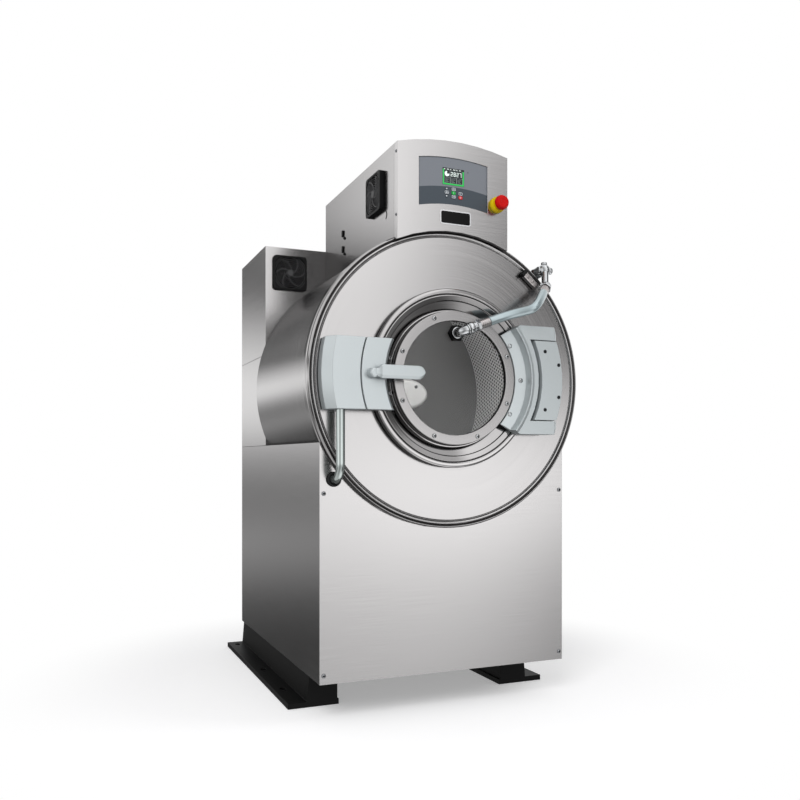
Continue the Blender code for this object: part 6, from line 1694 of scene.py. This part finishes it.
def add_display():
    """Lit fields of the display: green frame, status marks, a pie, four digits and three boxes."""
    low, high = corners("display_window")
    front = ahead("display_window")
    bottom, top = low.z - DRUM_Z, high.z - DRUM_Z
    left, right = low.x + FIELD_INSET, high.x - FIELD_INSET
    foot = bottom + FIELD_INSET
    inner_left, inner_right = left + FRAME_WIDE, right - FRAME_WIDE
    box_left, box_right = inner_left + FIELD_INSET, inner_right - FIELD_INSET
    upper_foot, upper_top = top - 0.0275, top - 0.0064
    lower_foot, lower_top = bottom + 0.0060, top - 0.0283

    def show(name, key, marks):
        finished("display " + name, joined(*marks), "machine", key)

    show("frame field", "display green",
         [flat_mark(bar(left, foot, inner_left, top - 0.004), front),
          flat_mark(bar(inner_right, foot, right, top - 0.006), front),
          flat_mark(bar(inner_left, foot, inner_right, foot + FRAME_WIDE), front)])
    show("pale field", "display grey",
         [flat_mark(bar(inner_left, bottom + 0.0053, inner_right, top - 0.0058), front, LAYER)])
    boxes = [(box_left, upper_foot, box_left + UPPER_BOX_WIDE, upper_top),
             (box_left + UPPER_BOX_WIDE + 0.0010, upper_foot, box_right, upper_top)]
    for index in range(3):
        start = box_left + LOWER_BOX_PITCH * index
        boxes.append((start, lower_foot, start + LOWER_BOX_WIDE, lower_top))
    show("dark fields", "display dark", [flat_mark(bar(*span), front + LAYER, LAYER) for span in boxes])
    centre_x, centre_z = inner_left + 0.0096, top - 0.0169
    pie = [(centre_x, centre_z)]
    for angle in range(90, 376, 13):
        x, z = on_circle(PIE_R, angle)
        pie.append((centre_x + x, centre_z + z))
    white = [flat_mark(pie, front + PRINT_THICK)]
    for index, value in enumerate((2, 8, 2, 7)):
        white += digit(value, inner_left + 0.0216 + DIGIT_PITCH * index, top - 0.0230, *DIGIT_SIZE,
                       front + PRINT_THICK)
    for index, width in enumerate(STATUS_WIDTHS):
        start = left + 0.004 + STATUS_PITCH * index
        white.append(flat_mark(bar(start, top - 0.0042, start + width, top - 0.0026), front))
    show("white marks", "display white", white)
    faint = []
    for x0, z0, x1, z1 in boxes[2:]:
        start = x0 + 0.0022
        faint += [flat_mark(bar(start, z0 + rise, start + width, z0 + rise + 0.0010), front + PRINT_THICK)
                  for rise, width in FAINT_LINES]
    show("faint marks", "display grey", faint)


# The blank plate's lower left and upper right corner from the drum axis, its rim and its corners' radius
PLATE_CORNERS = (-0.045, 0.451, 0.056, 0.493)
PLATE_RIM = 0.0035
PLATE_CORNER_R = 0.0080
PLATE_THICK = 0.0009


def add_name_place():
    """Blank plate under the keypad, a bright rim round a black gloss field, and the film's light sensor."""
    front = ahead("control_front")
    x0, z0, x1, z1 = PLATE_CORNERS
    outer = softened(bar(x0, z0, x1, z1), [PLATE_CORNER_R] * 4, 5)
    inner = softened(bar(x0 + PLATE_RIM, z0 + PLATE_RIM, x1 - PLATE_RIM, z1 - PLATE_RIM), [0.0055] * 4, 5)
    face = front + PLATE_THICK
    finished("blank plate rim", plate(outer, front, face, 0.0003, 2), "machine", "bright rim")
    finished("blank plate field", plate(inner, face, face + 0.0003, 0.0001, 1), "machine", "gloss black")
    sensor = flat_mark(arc(0.0016, 0, 345, 23, (0.048, 0.612)), ahead("keypad_overlay"))
    finished("light sensor", sensor, "machine", "display dark")


COVER_SCREW_DEPTH = -0.029
COVER_SCREW_HEIGHTS = (1.632, 1.450)
KNOCKOUT_PLACE = (0.055, 1.470)
CLIP_DEPTH = 0.440
CLIP_SCREW_DEPTH = 0.425
CLIP_HEIGHTS = (1.510, 1.457)


def add_box_fittings():
    """Flange screws, a half-moon plug and two small clips on the control box's left side."""
    side = corners("control_box")[0].x
    screws("control cover screws", "machine", "screw", 0.0046, 0.0022,
           [(side, PANEL_Y + COVER_SCREW_DEPTH, z) for z in COVER_SCREW_HEIGHTS], LEFTWARD)
    crescent = arc(0.0135, -70, 70, 16) + arc(0.0125, 62, -62, 16, (-0.0022, 0.0))
    plug = plate(crescent, 0.0, 0.0010, at=at_origin)
    depth, height = KNOCKOUT_PLACE
    finished("knockout slot", facing(plug, (side, PANEL_Y + depth, height), LEFTWARD), "machine", "black")
    clips = []
    for z in CLIP_HEIGHTS:
        body = box((-0.005, -0.0050, -0.0110), (0.005, 0.0, 0.0110), 0.0014)
        clips.append(facing(body, (side, PANEL_Y + CLIP_DEPTH, z), LEFTWARD))
        clips.append(button_screw(0.0052, 0.0045, (side, PANEL_Y + CLIP_SCREW_DEPTH, z - 0.018), LEFTWARD))
    finished("cable clips", joined(*clips), "machine", "black")


STOP_NECK_R = 0.0113
STOP_STEM_R = 0.0108
HEAD_HIGH = 0.020


def add_stop_button():
    """Yellow collar and red mushroom head with a dished face."""
    low, high = corners("estop_base")
    x, z = middle("estop_base")
    centre = Vector((x, high.y, z))
    proud = high.y - low.y
    radius = half_width("estop_base")
    ring = [(STOP_NECK_R, 0), (radius, 0), (radius, -proud * 0.55), (radius - 0.003, -proud),
            (STOP_NECK_R, -proud)]
    base = lathe(softened(ring, [0, 0.001, 0.002, 0.002, 0], 4), 64, centre)
    finished("stop button collar", base, "machine", "yellow", stands_for="estop_base")
    front = corners("estop_button")[0].y - centre.y
    head = half_width("estop_button")
    neck = front + HEAD_HIGH
    dish = front + 0.001
    outline = [(0, 0.011), (STOP_STEM_R, 0.011), (STOP_STEM_R, neck), (head - 0.004, neck),
               (head, neck - 0.004), (head, front + 0.008), (head - 0.004, front), (0.010, front),
               (0.006, dish), (0, dish)]
    radii = [0, 0, 0, 0.002, 0.002, 0.003, 0.005, 0.002, 0.002, 0]
    finished("stop button head", lathe(softened(outline, radii, 4), 64, centre), "estop_button", "red",
             stands_for="estop_button")


class WASHER_OT_fans(bpy.types.Operator):
    """Dress the fan guards and rotors"""
    bl_idname = "washer.fans"
    bl_label = "Fans"

    def execute(self, context):
        add_fan_guard("control_fan_guard", LEFTWARD)
        add_fan_guard("rear_fan_guard", FORWARD)
        dress("black", "control_fan_rotor", "rear_fan_rotor")
        return {"FINISHED"}


FAN_HALF = 0.060
FAN_OPEN = 0.0530
FIRST_RING_R = 0.0145
RING_STEP = 0.0065
GRILLE_WIRE = 0.0013
GUARD_HUB_R = 0.0112
SPOKES = 6


def square_round(half, corner):
    """A square outline with cut corners, its points evenly spread by angle."""
    steps = 64
    points = []
    for step in range(steps):
        turn = math.tau * step / steps
        x, z = math.cos(turn), math.sin(turn)
        reach = min(half / max(abs(x), abs(z)), corner / (abs(x) + abs(z)))
        points.append((x * reach, z * reach))
    return points


def grille_rings(face):
    """Arcs of the guard's rings, each cut short where it would leave the square opening."""
    rings = []
    radius = FIRST_RING_R
    while radius < FAN_OPEN * 1.24:
        spread = 45.0
        if radius > FAN_OPEN:
            spread = 45.0 - math.degrees(math.acos(FAN_OPEN / radius))
        if spread > 4:
            for middle_angle in (45, 135, 225, 315):
                path = [(x, face + 0.0028, z)
                        for x, z in arc(radius, middle_angle - spread, middle_angle + spread, 12)]
                rings.append(swept(path, GRILLE_WIRE * 0.8, 6))
        radius += RING_STEP
    return rings


def grille_spokes(face):
    """Swept spokes from the guard's hub to its frame."""
    steps = 14
    start, end = 0.009, FAN_OPEN * 1.03
    spokes = []
    for index in range(SPOKES):
        path = []
        for step in range(steps + 1):
            share = step / steps
            reach = start + share * (end - start)
            turn = math.tau * index / SPOKES + 1.15 * share ** 0.8
            path.append((reach * math.cos(turn), face + 0.0020, reach * math.sin(turn)))
        spokes.append(swept(path, GRILLE_WIRE * 1.15, 8))
    return spokes


def add_fan_guard(node, direction):
    """Square moulded guard: frame, rings and swept spokes before a dark round throat."""
    low, high = corners(node)
    centre = (low + high) / 2
    deep = min(high.x - low.x, high.y - low.y)
    place = Vector((high.x if direction[0] else centre.x, centre.y if direction[0] else high.y, centre.z))

    def fit(part, bm, key, **settings):
        finished(node + part, facing(bm, place, direction), "machine", key, **settings)

    frame_body = ring_plate(square_round(FAN_HALF, FAN_HALF * 1.9), square_round(FAN_OPEN, FAN_OPEN * 1.72),
                            0.0, deep, 0.0016)
    fit("_frame", frame_body, "black", smooth=35, stands_for=node)
    # Wires and hub wear the grille finish: black plastic drawn lighter as painted sheen
    fit("_grille", joined(*grille_rings(-deep), *grille_spokes(-deep)), "grille")
    disc = [(0, -deep + 0.004), (GUARD_HUB_R, -deep + 0.004), (GUARD_HUB_R, -deep), (0, -deep)]
    fit("_hub", lathe(softened(disc, [0, 0.0005, 0.0012, 0], 3), 32, Vector()), "grille")
    throat = ring_plate(square_round(FAN_OPEN + 0.001, FAN_OPEN * 1.74),
                        arc(FAN_OPEN * 0.985, 0, 354.375, 63), GAP, 0.0050)
    fit("_throat", throat, "rubber")


class WASHER_OT_plumbing(bpy.types.Operator):
    """Dress the drain valve and the water valves"""
    bl_idname = "washer.plumbing"
    bl_label = "Plumbing"

    def execute(self, context):
        dress("black", "drain_valve")
        add_drain_mouth()
        add_inlet_valves()
        return {"FINISHED"}


DRAIN_R = 0.036


def add_drain_mouth():
    """Clamp band, lip, and a gloss black disc across the drain's tail: the pipe's own black, deepened as
    painted shade of its hollow mouth.
    """
    low, high = corners("drain_valve")
    end = Vector((low.x + DRAIN_R, high.y, low.z + DRAIN_R))
    outer, inner = DRAIN_R + 0.001, DRAIN_R - 0.005
    lip = lathe([(inner, 0.0), (outer, 0.0), (outer, -0.006), (DRAIN_R, -0.008), (inner, 0.0004)], 48, end)
    finished("drain lip", lip, "machine", "black")
    # A gloss black disc across the mouth: painted shade of the pipe's hollow
    mouth = DRAIN_R - 0.0055
    bore_shade_disc = lathe([(0, -0.0002), (mouth, -0.0002), (mouth, 0.0002), (0, 0.0002)], 48, end)
    finished("drain bore", bore_shade_disc, "machine", "gloss black")
    band_r = DRAIN_R + 0.0012
    band = lathe([(DRAIN_R, -0.034), (band_r, -0.034), (band_r, -0.022), (DRAIN_R, -0.022)], 48, end)
    lug = box(end + Vector((-0.008, -0.033, DRAIN_R)), end + Vector((0.008, -0.023, DRAIN_R + 0.008)), 0.001)
    finished("drain clamp band", joined(band, lug), "machine", "screw")


VALVE_OFFSETS = (-0.055, 0.0, 0.055)
VALVE_HALF = 0.024
CONNECTOR_LONG = 0.030
THREAD_PITCH = 0.0026
THREAD_TURNS = 8


def add_inlet_valves():
    """Valve block with its bracket and three threaded connectors."""
    low, high = corners("inlet_valves")
    face = high.y - CONNECTOR_LONG
    across, level = middle("inlet_valves")
    plate_back = low.y + 0.003
    parts = [box((low.x, low.y, low.z + 0.006), (high.x, plate_back, high.z - 0.006), 0.0008)]
    threads, bore_shade_discs = [], []
    thread = [(0, 0.0), (0.0125, 0.0)]
    for turn in range(THREAD_TURNS):
        thread += [(0.0125, 0.0060 + THREAD_PITCH * turn), (0.0135, 0.0073 + THREAD_PITCH * turn)]
    thread += [(0.0120, 0.0290), (0.0095, 0.0290), (0.0095, 0.0280), (0, 0.0280)]
    # A gloss black disc inside each connector's mouth: painted shade of its hollow
    bore_shade_disc = [(0, 0.0281), (0.0092, 0.0281), (0.0092, 0.0284), (0, 0.0284)]
    for offset in VALVE_OFFSETS:
        x = across + offset
        parts.append(box((x - VALVE_HALF, plate_back, low.z), (x + VALVE_HALF, face, high.z), 0.005, 3))
        base = Vector((x, face, level))
        threads += [lathe(thread, 40, base), hexagon_nut(0.0170, 0.0050, base, BACKWARD)]
        bore_shade_discs.append(lathe(bore_shade_disc, 24, base))
    finished("water valve block", joined(*parts), "machine", "black", stands_for="inlet_valves")
    finished("water connectors", joined(*threads), "machine", "screw", 25)
    finished("water connector bores", joined(*bore_shade_discs), "machine", "gloss black")


class WASHER_PT_panel(bpy.types.Panel):
    """Lists the washer's pieces in the sidebar"""
    bl_idname = "WASHER_PT_panel"
    bl_label = "Washer"
    bl_space_type = "VIEW_3D"
    bl_region_type = "UI"
    bl_category = "Washer"

    def draw(self, context):
        for group in (context.scene.washer_sizes, context.scene.washer_colours, context.scene.washer_light):
            for field in group.__annotations__:
                self.layout.prop(group, field)
        for operator in OPERATORS:
            self.layout.operator(operator.bl_idname)


OPERATORS = (WASHER_OT_stage, WASHER_OT_base, WASHER_OT_cabinet, WASHER_OT_tub, WASHER_OT_basket,
             WASHER_OT_door, WASHER_OT_latch, WASHER_OT_hinge, WASHER_OT_lines, WASHER_OT_controls,
             WASHER_OT_fans, WASHER_OT_plumbing)
GROUPS = (WasherSizes, WasherColours, WasherLight)


def register():
    for kind in GROUPS + OPERATORS + (WASHER_PT_panel,):
        bpy.utils.register_class(kind)
    bpy.types.Scene.washer_sizes = bpy.props.PointerProperty(type=WasherSizes)
    bpy.types.Scene.washer_colours = bpy.props.PointerProperty(type=WasherColours)
    bpy.types.Scene.washer_light = bpy.props.PointerProperty(type=WasherLight)


def unregister():
    del bpy.types.Scene.washer_light
    del bpy.types.Scene.washer_colours
    del bpy.types.Scene.washer_sizes
    for kind in reversed(GROUPS + OPERATORS + (WASHER_PT_panel,)):
        bpy.utils.unregister_class(kind)


def main():
    register()
    for operator in OPERATORS:
        family, name = operator.bl_idname.split(".")
        getattr(getattr(bpy.ops, family), name)()


if __name__ == "__main__":
    main()
